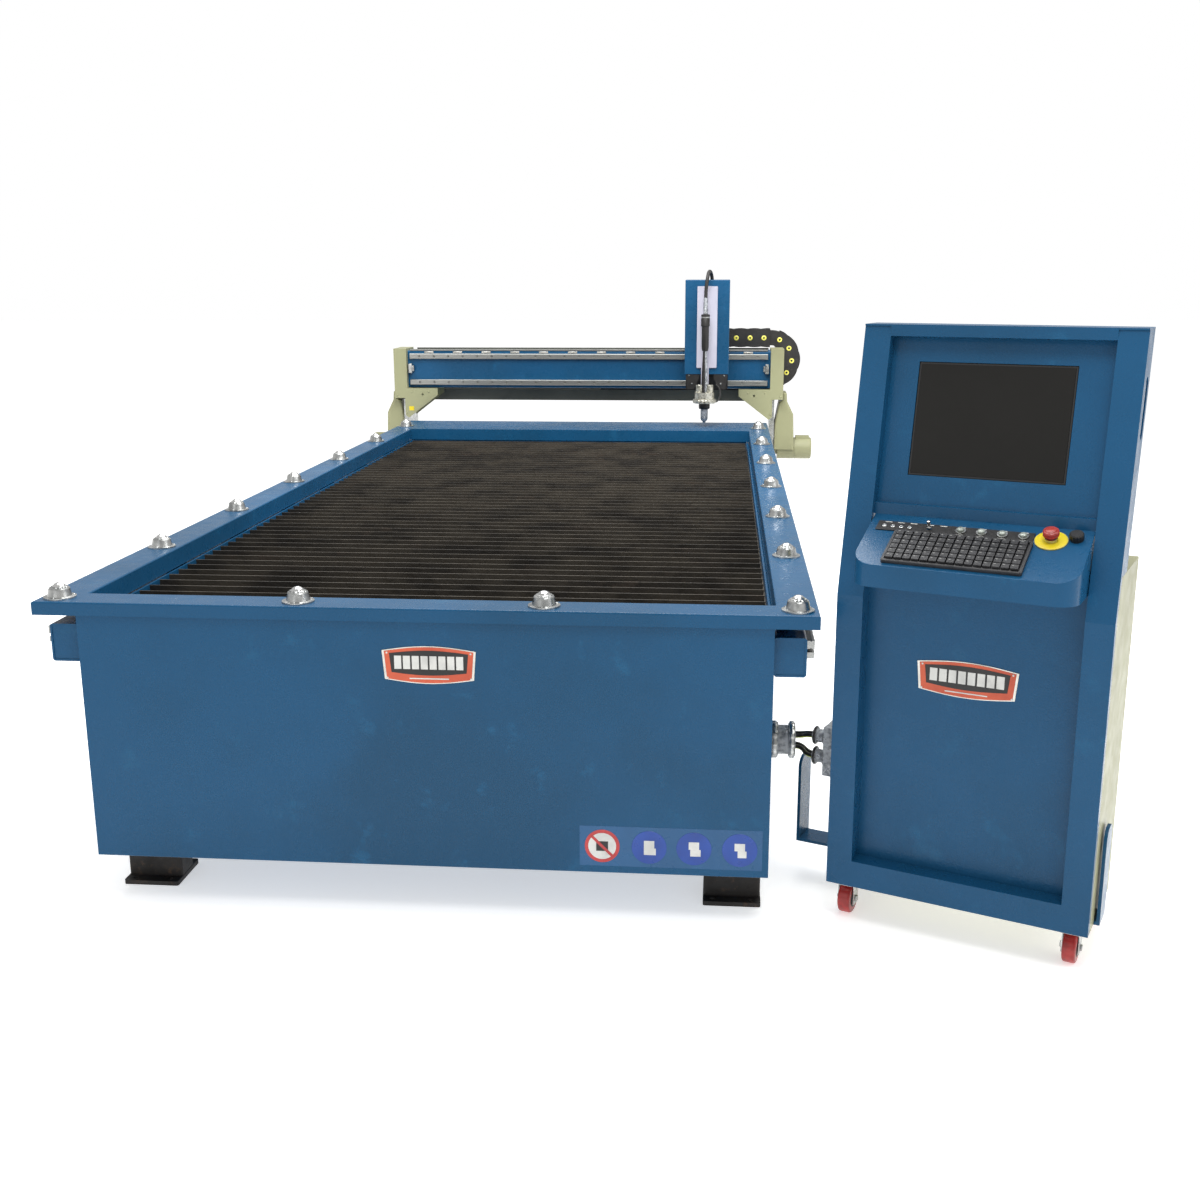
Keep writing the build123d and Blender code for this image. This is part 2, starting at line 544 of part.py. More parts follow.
with BuildPart() as torch_body:
    with BuildSketch(Plane((TORCH_X, TORCH_Y, 0), x_dir=(1, 0, 0), z_dir=(0, -1, 0))):
        with BuildLine():
            Polyline((0, 906), (19, 906), (19, 990), (15.5, 992), (15.5, 1207), (18.5, 1224), (18.5, 1326),
                     (22.5, 1328), (22.5, 1368), (20, 1370), (20, 1376), (22.5, 1378), (22.5, 1387),
                     (11, 1389), (11, 1470), (0, 1470), close=True)
        make_face()
    revolve(axis=Axis((TORCH_X, TORCH_Y, 0), (0, 0, 1)))
save(torch_body, "torch_body")

with BuildPart() as torch_nozzle:
    with BuildSketch(Plane((TORCH_X, TORCH_Y, 0), x_dir=(1, 0, 0), z_dir=(0, -1, 0))):
        with BuildLine():
            Polyline((0, 831), (6, 831), (9, 842), (15, 845), (19, 856), (19, 906), (0, 906), close=True)
        make_face()
    revolve(axis=Axis((TORCH_X, TORCH_Y, 0), (0, 0, 1)))
save(torch_nozzle, "torch_nozzle")


def arc_radii(points):
    """Largest tangent arc at each corner: 0.45 of the shorter run over the tangent of half the turn."""
    radii = []
    for before, here, after in zip(points, points[1:], points[2:]):
        run_in = Vector(*here) - Vector(*before)
        run_out = Vector(*after) - Vector(*here)
        half_turn = math.radians(run_in.get_angle(run_out)) / 2
        radii.append(0.45 * min(run_in.length, run_out.length) / math.tan(half_turn))
    return radii


def hose(name, points, diameter):
    """Round hose along straight runs joined by tangent arcs."""
    radii = arc_radii(points)
    with BuildPart() as tube:
        with BuildLine() as route:
            FilletPolyline(*points, radius=radii)
        path = route.wire()
        with BuildSketch(Plane(origin=path @ 0, z_dir=path % 0)):
            Circle(diameter / 2)
        sweep(path=path)
    expected = math.pi * diameter ** 2 / 4 * path.length
    print(name, "radii", [round(r) for r in radii], "volume ratio", round(tube.part.volume / expected, 4))
    return tube


# The lead climbs out of the torch, turns over the housing's lip and drops in through its top.
TORCH_LEAD = [(TORCH_X, TORCH_Y, 1470), (TORCH_X, TORCH_Y, 1505), (TORCH_X + 3, TORCH_Y - 1, 1536),
              (TORCH_X + 7, TORCH_Y, 1570), (TORCH_X + 13, TORCH_Y + 32, 1602), (TORCH_X + 22, TORCH_Y + 78, 1602),
              (LEAD_X, LEAD_Y, 1570), (LEAD_X, LEAD_Y, 1532), (LEAD_X + 1, LEAD_Y, 1486),
              (LEAD_X + 1, LEAD_Y + 1, 1430), (LEAD_X, LEAD_Y + 1, 1370)]
torch_lead = hose("torch_lead", TORCH_LEAD, LEAD_D)
save(torch_lead, "torch_lead")

# ================================================================ energy chain
# The runs nest like a telescope: each narrower run slides inside the one before it.
CHAIN_SIZES = {"chain_outer_run": (66, 95), "chain_middle_run": (59, 88), "chain_inner_run": (52, 81)}
CHAIN_WALL = 3


def chain_section(width, height):
    """Hollow rectangular section of one chain run."""
    RectangleRounded(width, height, 3)
    Rectangle(width - 2 * CHAIN_WALL, height - 2 * CHAIN_WALL, mode=Mode.SUBTRACT)


for chain_name in ("chain_outer_run", "chain_middle_run"):
    with BuildPart() as chain_run:
        with BuildSketch(Plane((RUN_LEFT, CHAIN_Y, CHAIN_Z), x_dir=(0, 1, 0), z_dir=(1, 0, 0))):
            chain_section(*CHAIN_SIZES[chain_name])
        extrude(amount=BEND_X - 5 - RUN_LEFT)
    save(chain_run, chain_name)

with BuildPart() as chain_inner_run:
    with BuildLine() as chain_path:
        Line((RUN_LEFT, CHAIN_Y, CHAIN_Z), (BEND_X, CHAIN_Y, CHAIN_Z))
        ThreePointArc((BEND_X, CHAIN_Y, CHAIN_Z), (BEND_X + BEND_R, CHAIN_Y, CHAIN_Z - BEND_R),
                      (BEND_X, CHAIN_Y, CHAIN_Z - 2 * BEND_R))
        Line((BEND_X, CHAIN_Y, CHAIN_Z - 2 * BEND_R), (BEND_X - 40, CHAIN_Y, CHAIN_Z - 2 * BEND_R))
    with BuildSketch(Plane((RUN_LEFT, CHAIN_Y, CHAIN_Z), x_dir=(0, 1, 0), z_dir=(1, 0, 0))):
        chain_section(*CHAIN_SIZES["chain_inner_run"])
    sweep(path=chain_path.wire())
save(chain_inner_run, "chain_inner_run")

with BuildPart() as chain_lower_run:
    low_z = CHAIN_Z - 2 * BEND_R
    block((60, 980), (CHAIN_Y - 33, CHAIN_Y + 33), (TRAY_Z + SKIN, low_z + 40))
    block((59, 981), (CHAIN_Y - 30, CHAIN_Y + 30), (TRAY_Z + SKIN + CHAIN_WALL, low_z + 41), mode=Mode.SUBTRACT)
save(chain_lower_run, "chain_lower_run")

# ================================================================ console
FRAME_LINE = [(0, CON_Z[0]), (0, CON_Z[1]), (LEAN, CON_Z[2])]
LOW_RETURN_TOP = (LOW_RETURN + LEAN * (CAB_Z[1] - CON_Z[1]) / (CON_Z[2] - CON_Z[1]), CAB_Z[1])


def side_face(depth, start=0.0):
    """Outline of the leaning side, from one depth behind the front line to another."""
    front = [(y + start, z) for y, z in FRAME_LINE]
    back = [(y + depth, z) for y, z in reversed(FRAME_LINE)]
    Polygon(*front, *back, align=None)


def console_side(x):
    """Side-on sketch plane of the console at a local X."""
    return Plane(origin=CONSOLE.from_local_coords(Vector(x, 0, 0)), x_dir=CONSOLE.y_dir, z_dir=CONSOLE.x_dir)


# The upper panel leans a little more than the uprights; the screen lies in its middle.
PANEL_FOOT = (UPPER_RECESS + 44, 1070)
PANEL_HEAD = (LEAN - 6 + UPPER_RECESS, 1453)
SCREEN_TILT = math.atan2(PANEL_HEAD[0] - PANEL_FOOT[0], PANEL_HEAD[1] - PANEL_FOOT[1])
SCREEN_Z = 1267
SCREEN_Y = PANEL_FOOT[0] + (SCREEN_Z - PANEL_FOOT[1]) * math.tan(SCREEN_TILT)
SCREEN_W = 359
SCREEN_H = 265
SCREEN = Plane(origin=CONSOLE.from_local_coords(Vector(311, SCREEN_Y, SCREEN_Z)), x_dir=CONSOLE.x_dir,
               z_dir=Vector(*CONSOLE.y_dir) * -math.cos(SCREEN_TILT) + Vector(0, 0, math.sin(SCREEN_TILT)))

# Side flange, front face and inner reveal of each upright, then the rails and the recessed panels.
with BuildPart(CONSOLE) as console_frame:
    for x, width, start, depth in ((0, SKIN, 0, RETURN), (SKIN, STILE - SKIN, 0, SKIN),
                                   (STILE - SKIN, SKIN, SKIN, RECESS)):
        for left in (x, CON_W - x - width):
            with BuildSketch(console_side(left)):
                side_face(depth, start)
            extrude(amount=width)
    for left in (-1, CON_W - SKIN - 1):
        with BuildSketch(console_side(left)):
            Polygon((LOW_RETURN, 99), (LOW_RETURN, CON_Z[1]), LOW_RETURN_TOP, (RETURN + 40, CAB_Z[1]),
                    (RETURN + 40, 99), align=None)
        extrude(amount=SKIN + 2, mode=Mode.SUBTRACT)
    for z0, z1, y0 in ((CON_Z[0], 168, 0), (1457, CON_Z[2], LEAN)):
        block((STILE, CON_W - STILE), (y0 - 5 if y0 else 0, y0 + (0 if y0 else SKIN)), (z0, z1))
    block((STILE, CON_W - STILE), (0, RECESS), (164, 168))
    block((0, CON_W), (LEAN - 4, LEAN + RETURN), (CON_Z[2] - SKIN, CON_Z[2]))
    block((STILE - SKIN, CON_W - STILE + SKIN), (RECESS, RECESS + SKIN), (CON_Z[0], 905))
    with BuildSketch(console_side(STILE - SKIN)):
        with BuildLine():
            Polyline((62, 1043), (62 + SKIN, 1043), (62 + SKIN, 1066), (UPPER_RECESS + 44 + SKIN, 1066),
                     (PANEL_HEAD[0] + SKIN, 1457), (LEAN, 1461), (LEAN - 4, 1457), PANEL_HEAD, PANEL_FOOT,
                     (62, 1070), close=True)
        make_face()
    extrude(amount=CON_W - 2 * STILE + 2 * SKIN)
    with BuildSketch(SCREEN.offset(60)):
        Rectangle(SCREEN_W + 3, SCREEN_H + 3)
    extrude(amount=-120, mode=Mode.SUBTRACT)
    for x in (-1, CON_W - SKIN - 1):
        with BuildSketch(console_side(x)):
            with Locations((LEAN * 0.72 + 50, 1310)):
                SlotOverall(140, 34, rotation=78)
        extrude(amount=SKIN + 2, mode=Mode.SUBTRACT)
save(console_frame, "console_frame")

with BuildPart(CONSOLE) as console_cabinet:
    block(CAB_X, CAB_Y, (CAB_Z[0], CAB_Z[1] - SEAM))
    fillet(console_cabinet.edges().filter_by(Axis.Z).group_by(BACKWARD)[-1], 5)
    block((CAB_X[0] + SKIN, CAB_X[1] - SKIN), (CAB_Y[0] - 1, CAB_Y[1] - SKIN), (118, CAB_Z[1] - SKIN),
          mode=Mode.SUBTRACT)
    for drop in ((CAB_Z[0] - 1, 119), (CAB_Z[1] - 10, CAB_Z[1])):
        block((CAB_X[0] + SKIN, CAB_X[1] - SKIN), (CAB_Y[0] - 1, 72), drop, mode=Mode.SUBTRACT)
    with BuildSketch(console_side(-1)):
        Polygon((0, CON_Z[1]), (CAB_Y[0], CON_Z[1]), (LOW_RETURN_TOP[0] + SEAM, CAB_Z[1]), (0, CAB_Z[1]), align=None)
    extrude(amount=CON_W + 2, mode=Mode.SUBTRACT)
    block((60, CON_W - 60), (CAB_Y[1] - 10, CAB_Y[1] + 1), (CAB_Z[0] + 78, CAB_Z[1] - 60), mode=Mode.SUBTRACT)
save(console_cabinet, "console_cabinet")

DOOR_GAP = 1.5
DOOR_X = (34, CON_W - 34)
with BuildPart(CONSOLE) as cabinet_door:
    block((DOOR_X[0], DOOR_X[1]), (CAB_Y[1] + DOOR_GAP, CAB_Y[1] + DOOR_GAP + SKIN), (148, 920))
    chamfer(cabinet_door.faces().sort_by(BACKWARD)[-1].edges(), 1.5)
    with Locations((DOOR_X[1], CAB_Y[1] + DOOR_GAP + SKIN, 534)):
        Cylinder(4, 700)  # hinge barrel
    with Locations((DOOR_X[0] + 40, CAB_Y[1] + 12, 560)):
        Cylinder(14, 16, rotation=(90, 0, 0))
save(cabinet_door, "cabinet_door")

with BuildPart() as monitor:
    with BuildSketch(SCREEN.offset(-8)):
        RectangleRounded(430, 330, 8)
    extrude(amount=-38)
    with BuildSketch(SCREEN.offset(-8)):
        Rectangle(SCREEN_W, SCREEN_H)
    extrude(amount=6)
save(monitor, "monitor")

# ---------------------------------------------------------------- sloping shelf and what stands on it
SHELF_R = 52
with BuildPart(CONSOLE) as keyboard_shelf:
    block(SHELF_X, SHELF_Y, (SHELF_Z[0], SHELF_Z[2] + 5))
    fillet(keyboard_shelf.edges().filter_by(Axis.Z).sort_by(BACKWARD)[:2], SHELF_R)
    with BuildSketch(console_side(0)):
        with BuildLine():
            Polyline((SHELF_Y[0] - 10, SHELF_Z[1] - 10 * math.tan(math.radians(SHELF_TILT))),
                     (SHELF_Y[1] + 10, SHELF_Z[2] + 10 * math.tan(math.radians(SHELF_TILT))),
                     (SHELF_Y[1] + 10, SHELF_Z[2] + 60), (SHELF_Y[0] - 10, SHELF_Z[2] + 60), close=True)
        make_face()
    extrude(amount=CON_W, mode=Mode.SUBTRACT)
    fillet(keyboard_shelf.edges().group_by(BACKWARD)[0].sort_by(Axis.Z)[-1], 2)
    block((SHELF_X[0] + SKIN, SHELF_X[1] - SKIN), (SHELF_Y[0] + SHELF_R, SHELF_Y[1] - SKIN),
          (SHELF_Z[0] - 1, SHELF_Z[1] + 15), mode=Mode.SUBTRACT)
save(keyboard_shelf, "keyboard_shelf")

SHELF_TOP = Plane(origin=CONSOLE.from_local_coords(Vector(0, SHELF_Y[0], SHELF_Z[1])), x_dir=CONSOLE.x_dir,
                  z_dir=CONSOLE.x_dir.cross(Vector(*CONSOLE.y_dir) * math.cos(math.radians(SHELF_TILT))
                                            + Vector(0, 0, 1) * math.sin(math.radians(SHELF_TILT))))
SHELF_UP = Axis((0, 0, 0), SHELF_TOP.z_dir)
KEYS_X = (136, 450)
KEYS_S = (12, 133)
STRIP_X = (86, 446)
STRIP_S = (137, 173)
BUTTON_S = 156
BUTTONS = {"cycle_button": 282, "pause_button": 329, "stop_button": 376, "reset_button": 423}
ESTOP = (484, 152)
TOGGLE = (209, 156)
TOGGLE_Z = 4.7
KEY_PITCH = 19.6

with BuildPart(SHELF_TOP) as keyboard_base:
    block(KEYS_X, KEYS_S, (0.0, 9))
    fillet(keyboard_base.edges().filter_by(SHELF_UP), 4)
    block((KEYS_X[0] + 6, KEYS_X[1] - 6), (KEYS_S[0] + 6, KEYS_S[1] - 5), (4, 10), mode=Mode.SUBTRACT)
save(keyboard_base, "keyboard_base")

with BuildPart(SHELF_TOP) as keyboard_keys:
    with Locations((sum(KEYS_X) / 2, sum(KEYS_S) / 2 + 0.5, 10.5)):
        with GridLocations(KEY_PITCH + 0.3, 18.2, 15, 6):
            Box(16.5, 15.2, 7)
save(keyboard_keys, "keyboard_keys")

with BuildPart(SHELF_TOP) as control_plate:
    block(STRIP_X, STRIP_S, (0, 2.5))
    with Locations(*[(x, BUTTON_S, 2.5) for x in BUTTONS.values()]):
        Hole(8.5, depth=2.5)
    with Locations((TOGGLE[0], TOGGLE[1], 2.5)):
        Hole(6, depth=2.5)
    with Locations((536, 166, 8)):
        Cylinder(15, 16)
save(control_plate, "control_plate")

for button_name, x in BUTTONS.items():
    with BuildPart(SHELF_TOP) as push_button:
        with Locations((x, BUTTON_S, 6.5)):
            Cylinder(8, 8)
        fillet(push_button.faces().sort_by(SHELF_UP)[-1].edges(), 1.5)
    save(push_button, button_name)

with BuildPart(SHELF_TOP) as button_rings:
    for x in BUTTONS.values():
        with Locations((x, BUTTON_S, 4)):
            Cylinder(12, 3)
            Cylinder(8.4, 4, mode=Mode.SUBTRACT)
    with Locations((ESTOP[0], ESTOP[1], 1.5)):
        Cylinder(36, 3)
    with Locations((ESTOP[0], ESTOP[1], 6)):
        Cylinder(14, 7)
    with Locations((ESTOP[0], ESTOP[1], 10)):
        Hole(8.4, depth=10)
save(button_rings, "button_rings")

with BuildPart(SHELF_TOP) as estop_button:
    with Locations((ESTOP[0], ESTOP[1], 15)):
        Cylinder(8, 16)
    with Locations((ESTOP[0], ESTOP[1], 24)):
        Cylinder(18, 12)
    fillet(estop_button.faces().sort_by(SHELF_UP)[-1].edges(), 4.5)
save(estop_button, "estop_button")

with BuildPart(SHELF_TOP) as toggle_lever:
    with Locations((TOGGLE[0], TOGGLE[1], TOGGLE_Z)):
        Cylinder(1.5, 10, rotation=(0, 90, 0))  # pivot pin
        Sphere(4.2)
    with Locations((TOGGLE[0], TOGGLE[1], TOGGLE_Z + 9)):
        Cone(2, 3.4, 18)
save(toggle_lever, "toggle_lever")

# ---------------------------------------------------------------- casters
FORK_T = 3
for row, y in zip(("front", "rear"), CASTER_Y):
    for side_name, x in zip(("left", "right"), CASTER_X):
        wheel_y = y + TRAIL
        with BuildPart(CONSOLE) as caster_fork:
            with Locations((x, y, 97.5)):
                Cylinder(21, 4)
            with Locations((x, wheel_y - TRAIL / 2, 90)):
                Box(WHEEL_W + 14, 40 + TRAIL, 3.2)
            with Locations((x, y, 93.5)):
                Cylinder(14, 5)
            for arm in (x - WHEEL_W / 2 - 5.5, x + WHEEL_W / 2 + 2.5):
                block((arm, arm + FORK_T), (wheel_y - 15, wheel_y + 15), (WHEEL_R - 14, 90))
            block((x - WHEEL_W / 2 - 8, x + WHEEL_W / 2 + 8), (wheel_y - 5, wheel_y + 5), (WHEEL_R - 5, WHEEL_R + 5))
        save(caster_fork, f"caster_fork_{row}_{side_name}")
        wheel_plane = Plane(origin=CONSOLE.from_local_coords(Vector(x - WHEEL_W / 2, wheel_y, WHEEL_R)),
                            x_dir=CONSOLE.y_dir, z_dir=CONSOLE.x_dir)
        with BuildPart() as caster_wheel:
            with BuildSketch(wheel_plane):
                Circle(WHEEL_R)
                Circle(7.6, mode=Mode.SUBTRACT)
            extrude(amount=WHEEL_W)
            fillet(caster_wheel.edges().filter_by(GeomType.CIRCLE).sort_by(SortBy.RADIUS)[-2:], 6)
        save(caster_wheel, f"caster_wheel_{row}_{side_name}")

# Flat stops beside the cabinet: the left one stands well out, the right one close in.
GUARD_T = 8
with BuildPart(CONSOLE) as side_guards:
    for outer, inner, y in ((-158, 0, (205, 280)), (CON_W + 14, CON_W, (76, 151))):
        lo, hi = min(outer, inner), max(outer, inner)
        block((lo, hi), y, (CON_Z[0], CON_Z[0] + GUARD_T))
        edge = lo if outer < 0 else hi - GUARD_T
        block((edge, edge + GUARD_T), y, (CON_Z[0], 340))
    fillet(side_guards.edges().filter_by(SIDEWAYS).group_by(Axis.Z)[-1], 30)
save(side_guards, "side_guards")

# ================================================================ cable glands and cables
GLAND_BOX_X = (-40, 0)
GLAND_Y = 90
GLAND_Z = (398, 452)
GLAND_STEPS = ((22, 0, 8), (17, 8, 28), (20, 28, 36))
TANK_GLAND = (TANK_HALF, FRONT + 230, 422)
TANK_GLAND_STEPS = ((55, 0, 5), (45, 5, 24), (38, 24, 52), (44, 52, 68))
with BuildPart() as cable_glands:
    for radius, near, far in TANK_GLAND_STEPS:
        with BuildSketch(Plane((TANK_GLAND[0] + near, *TANK_GLAND[1:]), x_dir=(0, 1, 0), z_dir=(1, 0, 0))):
            Circle(radius)
        extrude(amount=far - near)
    with Locations(CONSOLE):
        block(GLAND_BOX_X, (GLAND_Y - 36, GLAND_Y + 36), (GLAND_Z[0] - 38, GLAND_Z[1] + 36))
    for z in GLAND_Z:
        gland_plane = Plane(origin=CONSOLE.from_local_coords(Vector(GLAND_BOX_X[0], GLAND_Y, z)),
                            x_dir=CONSOLE.y_dir, z_dir=-CONSOLE.x_dir)
        for radius, near, far in GLAND_STEPS:
            with BuildSketch(gland_plane.offset(near)):
                Circle(radius)
            extrude(amount=far - near)
save(cable_glands, "cable_glands")

# Four short cables, each from its place in the big gland to its place in a small one.
CABLE_D = 11
CABLE_LEAD = 17
LEAD_OUT = TANK_GLAND[0] + TANK_GLAND_STEPS[-1][2]
CABLE_ROUTES = []
for tank_offset, gland_offset, z in (((-15, 16), -9, GLAND_Z[1]), ((14, 13), 9, GLAND_Z[1]),
                                     ((-12, -14), -9, GLAND_Z[0]), ((15, -16), 9, GLAND_Z[0])):
    near = Vector(LEAD_OUT, TANK_GLAND[1] + tank_offset[0], TANK_GLAND[2] + tank_offset[1])
    far = CONSOLE.from_local_coords(Vector(GLAND_BOX_X[0] - GLAND_STEPS[-1][2], GLAND_Y + gland_offset, z))
    CABLE_ROUTES.append([near, near + Vector(CABLE_LEAD, 0, 0), far - CONSOLE.x_dir * CABLE_LEAD, far])
with BuildPart() as console_cables:
    for number, points in enumerate(CABLE_ROUTES):
        corner_radii = arc_radii(points)
        with BuildLine() as cable_line:
            FilletPolyline(*points, radius=corner_radii)
        cable_path = cable_line.wire()
        with BuildSketch(Plane(origin=cable_path @ 0, z_dir=cable_path % 0)):
            Circle(CABLE_D / 2)
        sweep(path=cable_path)
        print("cable", number, "length", round(cable_path.length), "radii", [round(r) for r in corner_radii])
save(console_cables, "console_cables")
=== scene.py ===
"""Plasma cutting table, travelling gantry and rolling operator console, dressed for rendering.

Every part of the frame keeps its shape and gets a procedural finish.  Thin trim, links, tubes, plaques and
other fine parts are added as surfaces worked out with numpy.  Lengths are metres, +Z is up, +Y runs along the
table towards the parked gantry.
"""
import logging
import math
from dataclasses import dataclass, field
from enum import Enum
from typing import Callable, Iterable, Sequence

import bpy
import numpy as np
from mathutils import Matrix

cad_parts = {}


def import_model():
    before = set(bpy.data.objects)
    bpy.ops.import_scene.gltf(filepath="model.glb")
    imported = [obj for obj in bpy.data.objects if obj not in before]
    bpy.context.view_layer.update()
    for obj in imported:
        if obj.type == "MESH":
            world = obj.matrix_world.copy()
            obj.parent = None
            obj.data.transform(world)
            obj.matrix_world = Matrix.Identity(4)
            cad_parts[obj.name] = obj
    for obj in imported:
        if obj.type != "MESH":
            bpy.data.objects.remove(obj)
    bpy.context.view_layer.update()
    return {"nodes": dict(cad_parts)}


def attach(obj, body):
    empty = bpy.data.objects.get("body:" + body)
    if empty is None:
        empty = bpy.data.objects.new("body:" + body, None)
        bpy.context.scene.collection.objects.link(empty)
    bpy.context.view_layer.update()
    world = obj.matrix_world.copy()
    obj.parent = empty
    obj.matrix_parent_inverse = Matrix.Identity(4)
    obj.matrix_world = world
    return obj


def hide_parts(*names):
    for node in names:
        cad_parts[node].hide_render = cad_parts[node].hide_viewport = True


LOG = logging.getLogger("cutting_table")
Array = np.ndarray
TAU = 2.0 * math.pi
FRONT = -2.1
GANTRY_Y = 2.15
CARRIAGE_X = 0.65
TORCH_X, TORCH_Y = 0.642, 1.888


# ------------------------------------------------------------------ shells
@dataclass
class Shell:
    """A mesh in the making: vertices, faces and one texture position for each vertex."""

    vertices: Array
    faces: list[list[int]]
    uv: Array | None = None

    def outward(self) -> "Shell":
        """Turns the faces round when the enclosed volume (sum of corner triple products) is negative.

        Returns:
            The shell itself, with faces that point outwards.
        """
        fans = [(f[0], f[i], f[i + 1]) for f in self.faces for i in range(1, len(f) - 1)]
        a, b, c = (self.vertices[np.array([t[k] for t in fans])] for k in range(3))
        if float(np.einsum("ij,ij->i", a - self.vertices.mean(axis=0),
                           np.cross(b - a, c - a)).sum()) < 0.0:
            self.faces = [list(reversed(f)) for f in self.faces]
        return self

    def moved(self, place: "Place") -> "Shell":
        """Carries the shell into a place.

        Args:
            place: Local axes that the shell's own X, Y and Z are laid on.

        Returns:
            A new shell in the shared frame.
        """
        return Shell(place.at(self.vertices), [list(f) for f in self.faces], self.uv)


def join(shells: Iterable[Shell]) -> Shell:
    """Puts several shells into one, each turned outwards first.

    Args:
        shells: The shells to gather.

    Returns:
        One shell with all their vertices and faces.
    """
    parts = [s.outward() for s in shells]
    starts = np.cumsum([0] + [len(s.vertices) for s in parts[:-1]])
    faces = [[i + int(k) for i in f] for s, k in zip(parts, starts) for f in s.faces]
    uv = np.vstack([s.uv if s.uv is not None else np.zeros((len(s.vertices), 2)) for s in parts])
    return Shell(np.vstack([s.vertices for s in parts]), faces, uv)


def copies(shell: Shell, offsets: Array) -> Shell:
    """Repeats a shell at each offset: all vertices plus each offset, as one broadcast sum.

    Args:
        shell: The shape to repeat.
        offsets: One row of X, Y, Z for each copy.

    Returns:
        One shell that holds every copy.
    """
    shell.outward()
    count = len(shell.vertices)
    vertices = (shell.vertices[None] + np.asarray(offsets, float)[:, None]).reshape(-1, 3)
    faces = [[i + k * count for i in f] for k in range(len(offsets)) for f in shell.faces]
    uv = None if shell.uv is None else np.tile(shell.uv, (len(offsets), 1))
    return Shell(vertices, faces, uv)


@dataclass(frozen=True)
class Place:
    """A local origin with three axes."""

    origin: tuple[float, float, float]
    x: tuple[float, float, float] = (1.0, 0.0, 0.0)
    y: tuple[float, float, float] = (0.0, 1.0, 0.0)
    z: tuple[float, float, float] = (0.0, 0.0, 1.0)

    def at(self, points: Array | Sequence[float]) -> Array:
        """Local to shared frame: origin plus the local numbers times the three axes.

        Args:
            points: One point or rows of points.

        Returns:
            The points in the shared frame.
        """
        return np.asarray(self.origin) + np.asarray(points, float) @ np.array([self.x, self.y, self.z])

    def shifted(self, x: float, y: float, z: float) -> "Place":
        """The same axes about another local point."""
        return Place(tuple(self.at((x, y, z))), self.x, self.y, self.z)


def grid(points: Array, wrap_u: bool = False, wrap_v: bool = True, caps: bool = True) -> Shell:
    """Faces over a rectangular array of points, row u by column v.

    Args:
        points: Array of shape (rows, columns, 3).
        wrap_u: Joins the last row to the first.
        wrap_v: Joins the last column to the first.
        caps: Closes both end rows with one face each.

    Returns:
        The surface as a shell, with texture positions that run over rows and columns.
    """
    rows, cols = points.shape[:2]
    u = np.arange(rows if wrap_u else rows - 1)[:, None]
    v = np.arange(cols if wrap_v else cols - 1)[None]
    u2, v2 = (u + 1) % rows, (v + 1) % cols
    quads = np.stack([u * cols + v, u * cols + v2, u2 * cols + v2, u2 * cols + v], axis=-1)
    faces = quads.reshape(-1, 4).tolist()
    if caps and not wrap_u and wrap_v:
        faces += [list(range(cols - 1, -1, -1)), [(rows - 1) * cols + i for i in range(cols)]]
    uv = np.stack(np.meshgrid(np.linspace(0, 1, rows), np.linspace(0, 1, cols), indexing="ij"), axis=-1)
    return Shell(points.reshape(-1, 3), faces, uv.reshape(-1, 2))


def lathe(profile: Sequence[tuple[float, float]], steps: int = 32,
          lobes: Callable[[Array, Array], Array] | None = None) -> Shell:
    """Turned shape about local Z: (r cos a, r sin a, h) for each profile pair (r, h) and angle a.

    Args:
        profile: Radius and height pairs from one end to the other.
        steps: Points round the turn.
        lobes: Optional factor on the radius as a function of angle and height.

    Returns:
        A closed shell.
    """
    r, h = np.array(profile, float).T
    a = np.arange(steps) * TAU / steps
    radius = r[:, None] * (lobes(a[None], h[:, None]) if lobes else 1.0)
    height = np.broadcast_to(h[:, None], (len(h), steps))
    return grid(np.stack([radius * np.cos(a), radius * np.sin(a), height], axis=-1))


def rounded_block(size: Sequence[float], radius: float, centre: Sequence[float] = (0, 0, 0),
                  k: int = 2) -> Shell:
    """Block with round edges: radius times a sphere's point n, plus (half size - radius) times n's signs.

    Args:
        size: Full lengths along X, Y and Z.
        radius: Edge radius.
        centre: Middle of the block.
        k: Points on each quarter turn.

    Returns:
        A closed shell.
    """
    quarter = (np.arange(k) + 0.5) / k * (TAU / 4)
    around = np.concatenate([quarter + i * TAU / 4 for i in range(4)])
    up = np.concatenate([quarter - TAU / 4, quarter])[:, None]
    n = np.stack([np.cos(up) * np.cos(around), np.cos(up) * np.sin(around),
                  np.sin(up) * np.ones_like(around)], axis=-1)
    n /= np.abs(n).max(axis=(0, 1))
    core = np.sign(n) * (np.asarray(size, float) / 2 - radius)
    return grid(core + n * radius + np.asarray(centre, float))


def slab(outline: Array, depth: float, bevel: float = 0.0006) -> Shell:
    """Flat plate from an outline in local X and Y, risen along Z, with its upper rim drawn in by the bevel.

    Args:
        outline: Corner points, one row each.
        depth: Thickness.
        bevel: Inset and drop of the rim.

    Returns:
        A closed shell.
    """
    outline = np.asarray(outline, float)
    middle = outline.mean(axis=0)
    reach = np.abs(outline - middle).max()
    inner = middle + (outline - middle) * (1 - bevel / reach)
    rows = [np.column_stack([o, np.full(len(o), z)]) for o, z in
            ((outline, 0.0), (outline, depth - bevel), (inner, depth))]
    return grid(np.stack(rows))


def disc_outline(radius: float, steps: int = 48) -> Array:
    """Circle of points: radius times (cos a, sin a)."""
    a = np.arange(steps) * TAU / steps
    return radius * np.column_stack([np.cos(a), np.sin(a)])


